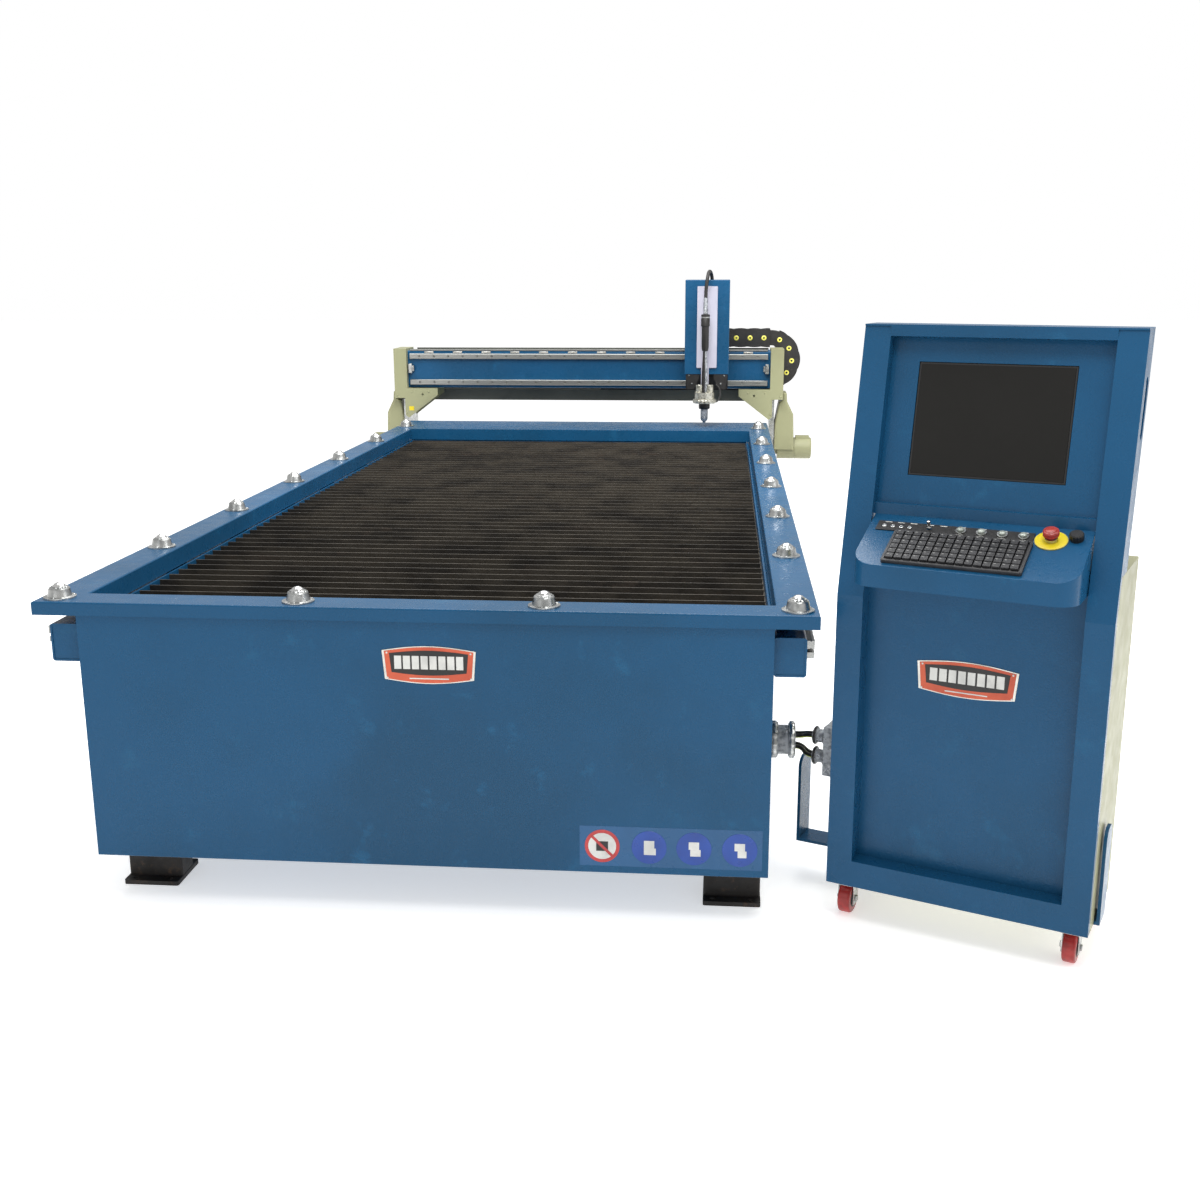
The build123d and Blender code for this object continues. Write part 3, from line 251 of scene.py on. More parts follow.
def shield_outline(width: float, height: float, steps: int = 12) -> Array:
    """Badge outline: straight sides that splay upwards, with the top and bottom edges bowed by a half sine.

    Args:
        width: Full width at the top.
        height: Full height at the middle.
        steps: Points along each bowed edge.

    Returns:
        Rows of X and Y, counter-clockwise.
    """
    t = np.linspace(-1, 1, steps)
    bow = np.cos(t * TAU / 4) * height * 0.12
    low = np.column_stack([t * width * 0.475, -height * 0.36 - bow * 0.9])
    high = np.column_stack([-t * width * 0.5, height * 0.38 + bow])
    return np.vstack([low, high])


def frames(path: Array, reference: Sequence[float]) -> tuple[Array, Array]:
    """Two unit vectors across a path: reference less its part along the path, and their cross product.

    Args:
        path: Rows of points.
        reference: A direction that the path never follows.

    Returns:
        The side and up vectors at each point.
    """
    along = np.gradient(path, axis=0)
    along /= np.linalg.norm(along, axis=1, keepdims=True)
    side = np.asarray(reference, float) - along * (along @ np.asarray(reference, float))[:, None]
    side /= np.linalg.norm(side, axis=1, keepdims=True)
    return side, np.cross(along, side)


def tube(path: Array, radius: float | Array, reference: Sequence[float] = (1, 0, 0),
         steps: int = 16) -> Shell:
    """Round tube: path point plus radius times (side cos a + up sin a).

    Args:
        path: Rows of centre points.
        radius: One radius or one for each point.
        reference: A direction that the path never follows.
        steps: Points round the tube.

    Returns:
        A closed shell whose texture runs along and round the tube.
    """
    side, up = frames(path, reference)
    a = np.arange(steps) * TAU / steps
    ring = side[:, None] * np.cos(a)[None, :, None] + up[:, None] * np.sin(a)[None, :, None]
    return grid(path[:, None] + ring * np.broadcast_to(radius, len(path))[:, None, None])


def smooth_path(points: Sequence[Sequence[float]], steps: int = 10) -> Array:
    """Quadratic B-spline: arcs from one run's middle to the next, each (1-t)^2 a + 2t(1-t) p + t^2 b.

    Args:
        points: Control points; the line starts and ends on the outer ones.
        steps: Samples on each arc.

    Returns:
        Rows of points along the line.
    """
    p = np.asarray(points, float)
    mids = (p[:-1] + p[1:]) / 2
    starts = np.vstack([p[:1], mids[1:-1]]) if len(p) > 3 else p[:1]
    ends = np.vstack([mids[1:-1], p[-1:]]) if len(p) > 3 else p[-1:]
    t = np.linspace(0, 1, steps, endpoint=False)[None, :, None]
    arcs = (1 - t) ** 2 * starts[:, None] + 2 * t * (1 - t) * p[1:-1][:, None] + t ** 2 * ends[:, None]
    return np.vstack([arcs.reshape(-1, 3), p[-1:]])


# ------------------------------------------------------------------ finishes
def linear(code: str) -> tuple[float, float, float, float]:
    """Linear colour of a six-digit display code: ((c + 0.055) / 1.055) to the power 2.4.

    Args:
        code: Red, green and blue as hexadecimal pairs.

    Returns:
        Linear red, green, blue and a full alpha.
    """
    c = np.array([int(code[i:i + 2], 16) / 255 for i in (0, 2, 4)])
    low = np.where(c > 0.04045, ((c + 0.055) / 1.055) ** 2.4, c / 12.92)
    return (float(low[0]), float(low[1]), float(low[2]), 1.0)


class Socket(Enum):
    """Kinds of socket that a node group shows."""

    NUMBER = "NodeSocketFloat"
    COLOUR = "NodeSocketColor"
    VECTOR = "NodeSocketVector"


class Effects:
    """Shader node groups that several finishes share."""

    def __init__(self) -> None:
        """Builds the groups once."""
        self.mottle = self._mottle()
        self.relief = self._relief()
        self.brush = self._brush()
        self.grime = self._grime()

    @staticmethod
    def _group(name: str, inputs: dict[str, tuple[Socket, object]], outputs: dict[str, Socket]):
        """Starts a group with its sockets.

        Args:
            name: Name of the group.
            inputs: Socket kind and default for each input.
            outputs: Socket kind for each output.

        Returns:
            The node tree, its input node and its output node.
        """
        tree = bpy.data.node_groups.new(name, "ShaderNodeTree")
        for label, (kind, value) in inputs.items():
            socket = tree.interface.new_socket(name=label, in_out="INPUT", socket_type=kind.value)
            if value is not None:
                socket.default_value = value
        for label, kind in outputs.items():
            tree.interface.new_socket(name=label, in_out="OUTPUT", socket_type=kind.value)
        return tree, tree.nodes.new("NodeGroupInput"), tree.nodes.new("NodeGroupOutput")

    @staticmethod
    def noise(tree, vector, scale, detail: float = 4.0, rough: float = 0.55):
        """Adds a noise texture.

        Args:
            tree: Node tree to add to.
            vector: Output socket that gives the position.
            scale: Output socket or number for the scale.
            detail: Octaves.
            rough: Strength of the finer octaves.

        Returns:
            The noise node.
        """
        node = tree.nodes.new("ShaderNodeTexNoise")
        node.inputs["Detail"].default_value = detail
        node.inputs["Roughness"].default_value = rough
        tree.links.new(vector, node.inputs["Vector"])
        if isinstance(scale, (int, float)):
            node.inputs["Scale"].default_value = scale
        else:
            tree.links.new(scale, node.inputs["Scale"])
        return node

    @staticmethod
    def ramp(tree, value, low: float, high: float, out_low: object = 0.0, out_high: object = 1.0):
        """Adds a smooth step from one value to another.

        Args:
            tree: Node tree to add to.
            value: Output socket to read.
            low: Value where the step starts.
            high: Value where it ends.
            out_low: Result, or socket with the result, below the step.
            out_high: Result, or socket with the result, above the step.

        Returns:
            The result socket.
        """
        node = tree.nodes.new("ShaderNodeMapRange")
        node.interpolation_type = "SMOOTHSTEP"
        node.inputs["From Min"].default_value = low
        node.inputs["From Max"].default_value = high
        for key, item in (("To Min", out_low), ("To Max", out_high)):
            if isinstance(item, (int, float)):
                node.inputs[key].default_value = item
            else:
                tree.links.new(item, node.inputs[key])
        tree.links.new(value, node.inputs["Value"])
        return node.outputs["Result"]

    @staticmethod
    def mix(tree, factor, a, b):
        """Adds a colour mix of two sockets or colours by a factor socket and returns its result socket."""
        node = tree.nodes.new("ShaderNodeMix")
        node.data_type = "RGBA"
        for socket, item in ((node.inputs[0], factor), (node.inputs[6], a), (node.inputs[7], b)):
            if isinstance(item, (int, float, tuple)):
                socket.default_value = item
            else:
                tree.links.new(item, socket)
        return node.outputs[2]

    @staticmethod
    def use(tree, group, position, values: dict[str, object]):
        """Adds a group node that reads a position.

        Args:
            tree: Node tree to add to.
            group: The shared group.
            position: Output socket that gives the position.
            values: Numbers or colours for its other inputs.

        Returns:
            The group node.
        """
        node = tree.nodes.new("ShaderNodeGroup")
        node.node_tree = group
        for label, value in values.items():
            node.inputs[label].default_value = value
        tree.links.new(position, node.inputs["Vector"])
        return node

    def _mottle(self):
        """Slow drift of colour and roughness over a surface."""
        tree, start, end = self._group("mottle", {
            "Vector": (Socket.VECTOR, None), "Base": (Socket.COLOUR, (0.5, 0.5, 0.5, 1)),
            "Shade": (Socket.COLOUR, (0.3, 0.3, 0.3, 1)), "Scale": (Socket.NUMBER, 3.0),
            "Rough Low": (Socket.NUMBER, 0.3), "Rough High": (Socket.NUMBER, 0.4)},
            {"Colour": Socket.COLOUR, "Roughness": Socket.NUMBER})
        wide = self.noise(tree, start.outputs["Vector"], start.outputs["Scale"])
        share = self.ramp(tree, wide.outputs["Fac"], 0.38, 0.68)
        colour = self.mix(tree, share, start.outputs["Base"], start.outputs["Shade"])
        tree.links.new(colour, end.inputs["Colour"])
        fine = self.noise(tree, start.outputs["Vector"], 23.0, 5.0)
        tree.links.new(self.ramp(tree, fine.outputs["Fac"], 0.3, 0.7, start.outputs["Rough Low"],
                                 start.outputs["Rough High"]), end.inputs["Roughness"])
        return tree

    def _relief(self):
        """Fine pebbled height, such as sprayed paint or moulded plastic has."""
        tree, start, end = self._group(
            "relief", {"Vector": (Socket.VECTOR, None), "Scale": (Socket.NUMBER, 300.0)},
            {"Height": Socket.NUMBER})
        fine = self.noise(tree, start.outputs["Vector"], start.outputs["Scale"], 2.0)
        tree.links.new(self.ramp(tree, fine.outputs["Fac"], 0.25, 0.75), end.inputs["Height"])
        return tree

    def _brush(self):
        """Long fine streaks of ground metal along one axis."""
        tree, start, end = self._group("brush", {
            "Vector": (Socket.VECTOR, None), "Stretch": (Socket.VECTOR, (6.0, 400.0, 400.0)),
            "Base": (Socket.COLOUR, (0.6, 0.6, 0.6, 1)), "Shade": (Socket.COLOUR, (0.4, 0.4, 0.4, 1))},
            {"Colour": Socket.COLOUR, "Roughness": Socket.NUMBER, "Height": Socket.NUMBER})
        scaled = tree.nodes.new("ShaderNodeVectorMath")
        scaled.operation = "MULTIPLY"
        tree.links.new(start.outputs["Vector"], scaled.inputs[0])
        tree.links.new(start.outputs["Stretch"], scaled.inputs[1])
        streak = self.noise(tree, scaled.outputs[0], 1.0, 3.0)
        tree.links.new(self.mix(tree, streak.outputs["Fac"], start.outputs["Base"], start.outputs["Shade"]),
                       end.inputs["Colour"])
        tree.links.new(self.ramp(tree, streak.outputs["Fac"], 0.2, 0.8, 0.22, 0.42), end.inputs["Roughness"])
        tree.links.new(streak.outputs["Fac"], end.inputs["Height"])
        return tree

    def _grime(self):
        """Patches of a second colour with ragged edges, such as rust, scale, dust or scuffs."""
        tree, start, end = self._group("grime", {
            "Vector": (Socket.VECTOR, None), "Clean": (Socket.COLOUR, (0.5, 0.5, 0.5, 1)),
            "Dirt": (Socket.COLOUR, (0.2, 0.1, 0.05, 1)), "Scale": (Socket.NUMBER, 8.0)},
            {"Colour": Socket.COLOUR, "Mask": Socket.NUMBER})
        large = self.noise(tree, start.outputs["Vector"], start.outputs["Scale"], 8.0, 0.68)
        mask = self.ramp(tree, large.outputs["Fac"], 0.56, 0.7)
        colour = self.mix(tree, mask, start.outputs["Clean"], start.outputs["Dirt"])
        tree.links.new(colour, end.inputs["Colour"])
        tree.links.new(mask, end.inputs["Mask"])
        return tree


@dataclass(frozen=True)
class Finish:
    """One finish: colours, shine and the size of its texture."""

    name: str
    base: str
    shade: str
    rough: tuple[float, float] = (0.3, 0.42)
    metallic: float = 0.0
    drift: float = 3.0
    pebble: float = 260.0
    bump: float = 0.08
    coat: float = 0.0
    dirt: str | None = None
    dirt_scale: float = 9.0
    brushed: tuple[float, float, float] | None = None
    stripe: str | None = None
    gloss: float = 0.5
    glow: float = 0.0

    def build(self, effects: Effects) -> bpy.types.Material:
        """Makes the material.

        Args:
            effects: The shared node groups.

        Returns:
            The finished material.
        """
        material = bpy.data.materials.new(self.name)
        material.use_nodes = True
        tree = material.node_tree
        shader = tree.nodes["Principled BSDF"]
        for label, value in (
                ("Metallic", self.metallic), ("Coat Weight", self.coat), ("Coat Roughness", 0.12),
                ("Specular IOR Level", self.gloss), ("Emission Color", (1.0, 1.0, 1.0, 1.0)),
                ("Emission Strength", self.glow)):
            shader.inputs[label].default_value = value
        place = tree.nodes.new("ShaderNodeTexCoord").outputs["Object"]
        bump = tree.nodes.new("ShaderNodeBump")
        bump.inputs["Strength"].default_value = self.bump
        bump.inputs["Distance"].default_value = 0.001
        paint = {"Base": linear(self.base), "Shade": linear(self.shade)}
        if self.brushed:
            body = effects.use(tree, effects.brush, place, paint | {"Stretch": self.brushed})
            tree.links.new(body.outputs["Height"], bump.inputs["Height"])
        else:
            body = effects.use(tree, effects.mottle, place, paint | {
                "Scale": self.drift, "Rough Low": self.rough[0], "Rough High": self.rough[1]})
            relief = effects.use(tree, effects.relief, place, {"Scale": self.pebble})
            tree.links.new(relief.outputs["Height"], bump.inputs["Height"])
        colour = body.outputs["Colour"]
        if self.dirt:
            grime = effects.use(tree, effects.grime, place,
                                {"Dirt": linear(self.dirt), "Scale": self.dirt_scale})
            tree.links.new(colour, grime.inputs["Clean"])
            colour = grime.outputs["Colour"]
        if self.stripe:
            own = tree.nodes.new("ShaderNodeUVMap")
            own.uv_map = "UVMap"
            split = tree.nodes.new("ShaderNodeSeparateXYZ")
            tree.links.new(own.outputs["UV"], split.inputs[0])
            ping = tree.nodes.new("ShaderNodeMath")
            ping.operation = "PINGPONG"
            ping.inputs[1].default_value = 0.5
            tree.links.new(split.outputs["Y"], ping.inputs[0])
            band = effects.ramp(tree, ping.outputs[0], 0.36, 0.38)
            colour = effects.mix(tree, band, colour, linear(self.stripe))
        tree.links.new(colour, shader.inputs["Base Color"])
        tree.links.new(body.outputs["Roughness"], shader.inputs["Roughness"])
        tree.links.new(bump.outputs["Normal"], shader.inputs["Normal"])
        return material


BLUE = Finish("blue_paint", "164e74", "144667", (0.24, 0.34), 0.0, 1.6, 240.0, 0.22, 0.06, "1a5479", 9.0,
              gloss=0.2)
BEIGE = Finish("beige_paint", "979775", "8b8a6a", (0.35, 0.48), 0.0, 2.2, 320.0, 0.12, 0.05, gloss=0.3)
# Rear cover under the beam: really beige, coloured dark grey here as painted shade for the shadow it hangs
# in.
BEIGE_COVER_PAINTED_SHADE = Finish("beige_cover_painted_shade", "5e6058", "4c4e48", (0.42, 0.55), 0.3, 2.5, 200.0, 0.08)
LEG = Finish("leg_black", "2a2623", "1d1a18", (0.5, 0.7), 0.2, 9.0, 150.0, 0.3, 0.0, "4a382a", 20.0)
SLAT = Finish("scaled_steel", "4c463d", "332f2a", (0.42, 0.62), 0.4, 6.0, 120.0, 0.4, 0.0, "4a4138", 7.0)
GROUND = Finish("ground_steel", "b9b9b4", "8c8d8a", metallic=1.0, bump=0.05, brushed=(6.0, 400.0, 400.0))
GROUND_LONG = Finish("ground_rail", "b4b5b2", "8a8c8c", metallic=1.0, bump=0.05, brushed=(400.0, 6.0, 400.0))
ZINC = Finish("zinc", "c9cac8", "9fa1a0", (0.2, 0.38), 1.0, 30.0, 500.0, 0.1)
CHROME = Finish("bright_chrome", "e8e8e6", "cfcfcd", (0.06, 0.14), 1.0, 12.0, 400.0, 0.02)
CASTING = Finish("clamp_casting", "d4d2c6", "a6a498", (0.24, 0.45), 0.9, 60.0, 420.0, 0.3, 0.0, "6c685c",
                 60.0)
LILAC = Finish("lilac_panel", "bdbcc9", "b1afbe", (0.34, 0.46), 0.0, 3.0, 350.0, 0.08, 0.1)
BLACK = Finish("black_plastic", "1f1d1c", "151413", (0.38, 0.52), 0.0, 14.0, 600.0, 0.2)
CHAIN = Finish("chain_plastic", "211f1d", "171514", (0.4, 0.55), 0.0, 18.0, 420.0, 0.25, 0.0, "33302c", 24.0)
RUBBER = Finish("hose_rubber", "2e2c2b", "1f1e1d", (0.45, 0.6), 0.0, 20.0, 700.0, 0.3)
LIME = Finish("lime_pin", "efe66a", "d8cf58", (0.32, 0.45), 0.0, 40.0, 500.0, 0.1)
CABLE = Finish("striped_cable", "191918", "101010", (0.35, 0.5), 0.0, 30.0, 700.0, 0.15, stripe="b8c832")
SLEEVE = Finish("braid_sleeve", "b5b8bc", "7d8186", (0.25, 0.4), 0.7, 90.0, 900.0, 0.6)
SCREEN = Finish("dark_screen", "1f1e1c", "1b1a18", (0.5, 0.6), 0.0, 2.0, 900.0, 0.02, gloss=0.2)
BEZEL = Finish("bezel", "1a1919", "121212", (0.3, 0.42), 0.0, 8.0, 800.0, 0.15)
KEY = Finish("key_plastic", "2b2b2d", "202022", (0.34, 0.46), 0.0, 20.0, 900.0, 0.2)
MARK = Finish("pale_mark", "d9d9d4", "c4c4c0", (0.4, 0.5), 0.0, 20.0, 600.0, 0.05)
KEY_MARK = Finish("key_mark", "8c8c8a", "7c7c7a", (0.4, 0.5), 0.0, 20.0, 600.0, 0.05)
RED_KNOB = Finish("red_knob", "a8342a", "8f2820", (0.25, 0.36), 0.0, 30.0, 600.0, 0.1, 0.3)
YELLOW = Finish("yellow_disc", "e4cf1c", "d2bb12", (0.3, 0.42), 0.0, 20.0, 500.0, 0.08)
RED_TYRE = Finish("red_tyre", "ab2420", "8c1a18", (0.24, 0.4), 0.0, 25.0, 300.0, 0.15, 0.2, "5a1512", 30.0)
BUTTON = Finish("button_face", "a9b0a8", "8d948c", (0.22, 0.34), 0.3, 30.0, 500.0, 0.06, 0.2)
PLAQUE_RIM = Finish("plaque_silver", "d8d6cf", "b6b4ad", (0.22, 0.36), 0.8, 12.0, 500.0, 0.06)
PLAQUE_RED = Finish("plaque_orange", "cf5a38", "bd4c2e", (0.32, 0.44), 0.0, 10.0, 500.0, 0.06)
PLAQUE_BLACK = Finish("plaque_black", "1b1a1a", "131212", (0.3, 0.42), 0.0, 10.0, 500.0, 0.06)
SIGN_BLUE = Finish("sign_blue", "17459c", "123b8a", (0.26, 0.36), 0.0, 10.0, 600.0, 0.04)
SIGN_RED = Finish("sign_red", "c03a3a", "ab3030", (0.26, 0.36), 0.0, 10.0, 600.0, 0.04)
FILM = Finish("sign_film", "285a86", "25547e", (0.25, 0.32), 0.0, 6.0, 500.0, 0.03, 0.1, gloss=0.3)
FLOOR = Finish("pale_floor", "f4f4f3", "f1f1f0", (0.6, 0.7), 0.0, 1.0, 90.0, 0.02, gloss=0.1, glow=0.53)


@dataclass
class Dresser:
    """Turns shells into pieces, with a finish and a body to ride on."""

    effects: Effects
    made: dict[str, bpy.types.Material] = field(default_factory=dict)
    nodes: dict[str, bpy.types.Object] = field(default_factory=dict)

    def material(self, finish: Finish) -> bpy.types.Material:
        """The material of a finish, built at its first use."""
        if finish.name not in self.made:
            self.made[finish.name] = finish.build(self.effects)
        return self.made[finish.name]

    def piece(self, name: str, shells: Sequence[Shell], finish: Finish, body: str,
              place: Place = Place((0.0, 0.0, 0.0)), smooth: bool = True,
              replaces: Sequence[str] = ()) -> bpy.types.Object:
        """Makes a piece in the shared frame.

        Args:
            name: Name of the piece.
            shells: The closed surfaces that it is made of.
            finish: Its finish.
            body: Body that it rides on.
            place: Where the surfaces' own origin and axes lie.
            smooth: Shades faces smoothly where they meet at less than 35 degrees.
            replaces: Nodes that the piece stands for.

        Returns:
            The new object.
        """
        shell = join(shells).moved(place)
        mesh = bpy.data.meshes.new(name)
        mesh.from_pydata(shell.vertices.tolist(), [], shell.faces)
        layer = mesh.uv_layers.new(name="UVMap")
        corner = np.empty(len(mesh.loops), dtype=np.int32)
        mesh.loops.foreach_get("vertex_index", corner)
        layer.data.foreach_set("uv", shell.uv[corner].astype(np.float32).ravel())
        mesh.update()
        obj = bpy.data.objects.new(name, mesh)
        bpy.context.scene.collection.objects.link(obj)
        if smooth:
            mesh.shade_smooth()
            mesh.set_sharp_from_angle(angle=math.radians(35))
        mesh.materials.append(self.material(finish))
        if replaces:
            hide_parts(*replaces)
        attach(obj, body)
        LOG.info("%s: %d faces on %s", name, len(shell.faces), body)
        return obj

    def dress(self, finishes: dict[Finish, Sequence[str]]) -> None:
        """Gives nodes of the frame their finishes.

        Args:
            finishes: Node names for each finish.
        """
        for finish, names in finishes.items():
            for name in names:
                obj = self.nodes[name]
                if not obj.data.materials:
                    obj.data.materials.append(None)
                for index in range(len(obj.material_slots)):
                    obj.material_slots[index].material = self.material(finish)
                LOG.info("%s: %s", name, finish.name)


# ------------------------------------------------------------------ camera, light and floor
@dataclass(frozen=True)
class Studio:
    """Camera, lamps and the floor."""

    eye: tuple[float, float, float] = (0.7307, -5.2432, 1.6097)
    yaw: float = 0.0892
    pitch: float = 0.2385
    roll: float = 0.0033
    focal: float = 1356.37 / 1200 * 36

    def camera(self) -> None:
        """Sets the camera from its turn to the left, its dip and its small roll."""
        cy, sy = math.cos(self.yaw), math.sin(self.yaw)
        cp, sp = math.cos(self.pitch), math.sin(self.pitch)
        forward = np.array([-sy * cp, cy * cp, -sp])
        right = np.array([cy, sy, 0.0])
        down = np.cross(forward, right)
        across = right * math.cos(self.roll) + down * math.sin(self.roll)
        low = down * math.cos(self.roll) - right * math.sin(self.roll)
        data = bpy.data.cameras.new("camera")
        data.lens, data.sensor_width, data.clip_end = self.focal, 36.0, 60.0
        obj = bpy.data.objects.new("camera", data)
        matrix = np.eye(4)
        matrix[:3, 0], matrix[:3, 1], matrix[:3, 2], matrix[:3, 3] = across, -low, -forward, self.eye
        bpy.context.scene.collection.objects.link(obj)
        obj.matrix_world = Matrix(matrix.tolist())
        bpy.context.scene.camera = obj

    def lamp(self, name: str, place: Sequence[float], target: Sequence[float], size: float,
             power: float) -> None:
        """Adds a square soft lamp that looks at a point.

        Args:
            name: Name of the lamp.
            place: Where it hangs.
            target: Where it looks.
            size: Length of its sides.
            power: Strength in watts.
        """
        data = bpy.data.lights.new(name, "AREA")
        data.energy, data.size = power, size
        obj = bpy.data.objects.new(name, data)
        back = np.array(place, float) - np.array(target, float)
        back /= np.linalg.norm(back)
        side = np.cross((0.0, 1.0, 0.001), back)
        side /= np.linalg.norm(side)
        matrix = np.eye(4)
        matrix[:3, 0], matrix[:3, 1], matrix[:3, 2], matrix[:3, 3] = side, np.cross(back, side), back, place
        bpy.context.scene.collection.objects.link(obj)
        obj.matrix_world = Matrix(matrix.tolist())

    def lights(self) -> None:
        """Hangs an overhead lamp and four fills; the surround is white in view but dimmer as a light."""
        scene = bpy.context.scene
        scene.view_settings.view_transform = "Standard"
        world = bpy.data.worlds.new("surround")
        world.use_nodes = True
        shade = world.node_tree.nodes["Background"]
        shade.inputs["Color"].default_value = (1.0, 1.0, 1.0, 1.0)
        blend = world.node_tree.nodes.new("ShaderNodeMapRange")
        blend.inputs["To Min"].default_value, blend.inputs["To Max"].default_value = 0.56, 1.0
        rays = world.node_tree.nodes.new("ShaderNodeLightPath").outputs["Is Camera Ray"]
        world.node_tree.links.new(rays, blend.inputs["Value"])
        world.node_tree.links.new(blend.outputs["Result"], shade.inputs["Strength"])
        scene.world = world
        self.lamp("overhead", (0.2, 0.6, 6.0), (0.2, 0.2, 0.0), 6.0, 430.0)
        self.lamp("front_fill", (-3.0, -7.5, 3.2), (0.2, -1.0, 0.8), 3.0, 20.0)
        self.lamp("gantry_fill", (0.4, -0.6, 3.4), (0.1, 2.2, 0.9), 1.6, 90.0)
        self.lamp("console_fill", (1.3, -3.2, 3.3), (1.35, -2.3, 1.1), 0.9, 28.0)
        self.lamp("side_light", (5.5, -3.0, 3.6), (0.8, -1.5, 0.8), 2.5, 60.0)

    def floor(self, dresser: Dresser) -> None:
        """Lays a flat floor: a two by two grid of points 80 m across."""
        corners = np.array([[[-40, -40, 0], [-40, 40, 0]], [[40, -40, 0], [40, 40, 0]]], float)
        shell = grid(corners, wrap_v=False, caps=False)
        mesh = bpy.data.meshes.new("floor")
        mesh.from_pydata(shell.vertices.tolist(), [], [list(reversed(f)) for f in shell.faces])
        mesh.materials.append(dresser.material(FLOOR))
        obj = bpy.data.objects.new("floor", mesh)
        bpy.context.scene.collection.objects.link(obj)


# ------------------------------------------------------------------ table
@dataclass
class Plaque:
    """Generic bowed badge of four layers, with plain bars in place of any words."""

    place: Place
    width: float
    height: float
    name: str

    def build(self, dresser: Dresser) -> None:
        """Adds the badge's rim, coloured field, dark middle and pale bars."""
        for layer, scale, start, depth, finish in (("rim", 1.0, 0.0, 0.0016, PLAQUE_RIM),
                                                   ("field", 0.95, 0.0016, 0.0008, PLAQUE_RED),
                                                   ("middle", 0.84, 0.0024, 0.0006, PLAQUE_BLACK)):
            squeeze, rise = (0.78, 0.06) if layer == "middle" else (1, 0)
            outline = shield_outline(self.width * scale, self.height * scale * squeeze)
            dresser.piece(f"{self.name}_{layer}", [slab(outline, depth, 0.0004)], finish, "table",
                          self.place.shifted(0, self.height * rise, start))
        bars = [rounded_block((self.width * 0.075, self.height * 0.34, 0.0008), 0.0003,
                              (self.width * (i - 3.5) * 0.094, self.height * 0.08, 0.0032)) for i in range(8)]
        low = [rounded_block((self.width * 0.42, self.height * 0.03, 0.0006), 0.0002,
                             (0, -self.height * 0.33, 0.0026))]
        rivets = [copies(lathe([(0.0026, 0.0), (0.0024, 0.0008), (0.0012, 0.0014)], 10),
                         np.array([[sx * self.width * 0.445, sy * self.height * 0.32, 0.0023]
                                   for sx in (-1, 1) for sy in (-1, 1)]))]
        dresser.piece(f"{self.name}_bars", bars + low + rivets, MARK, "table", self.place)


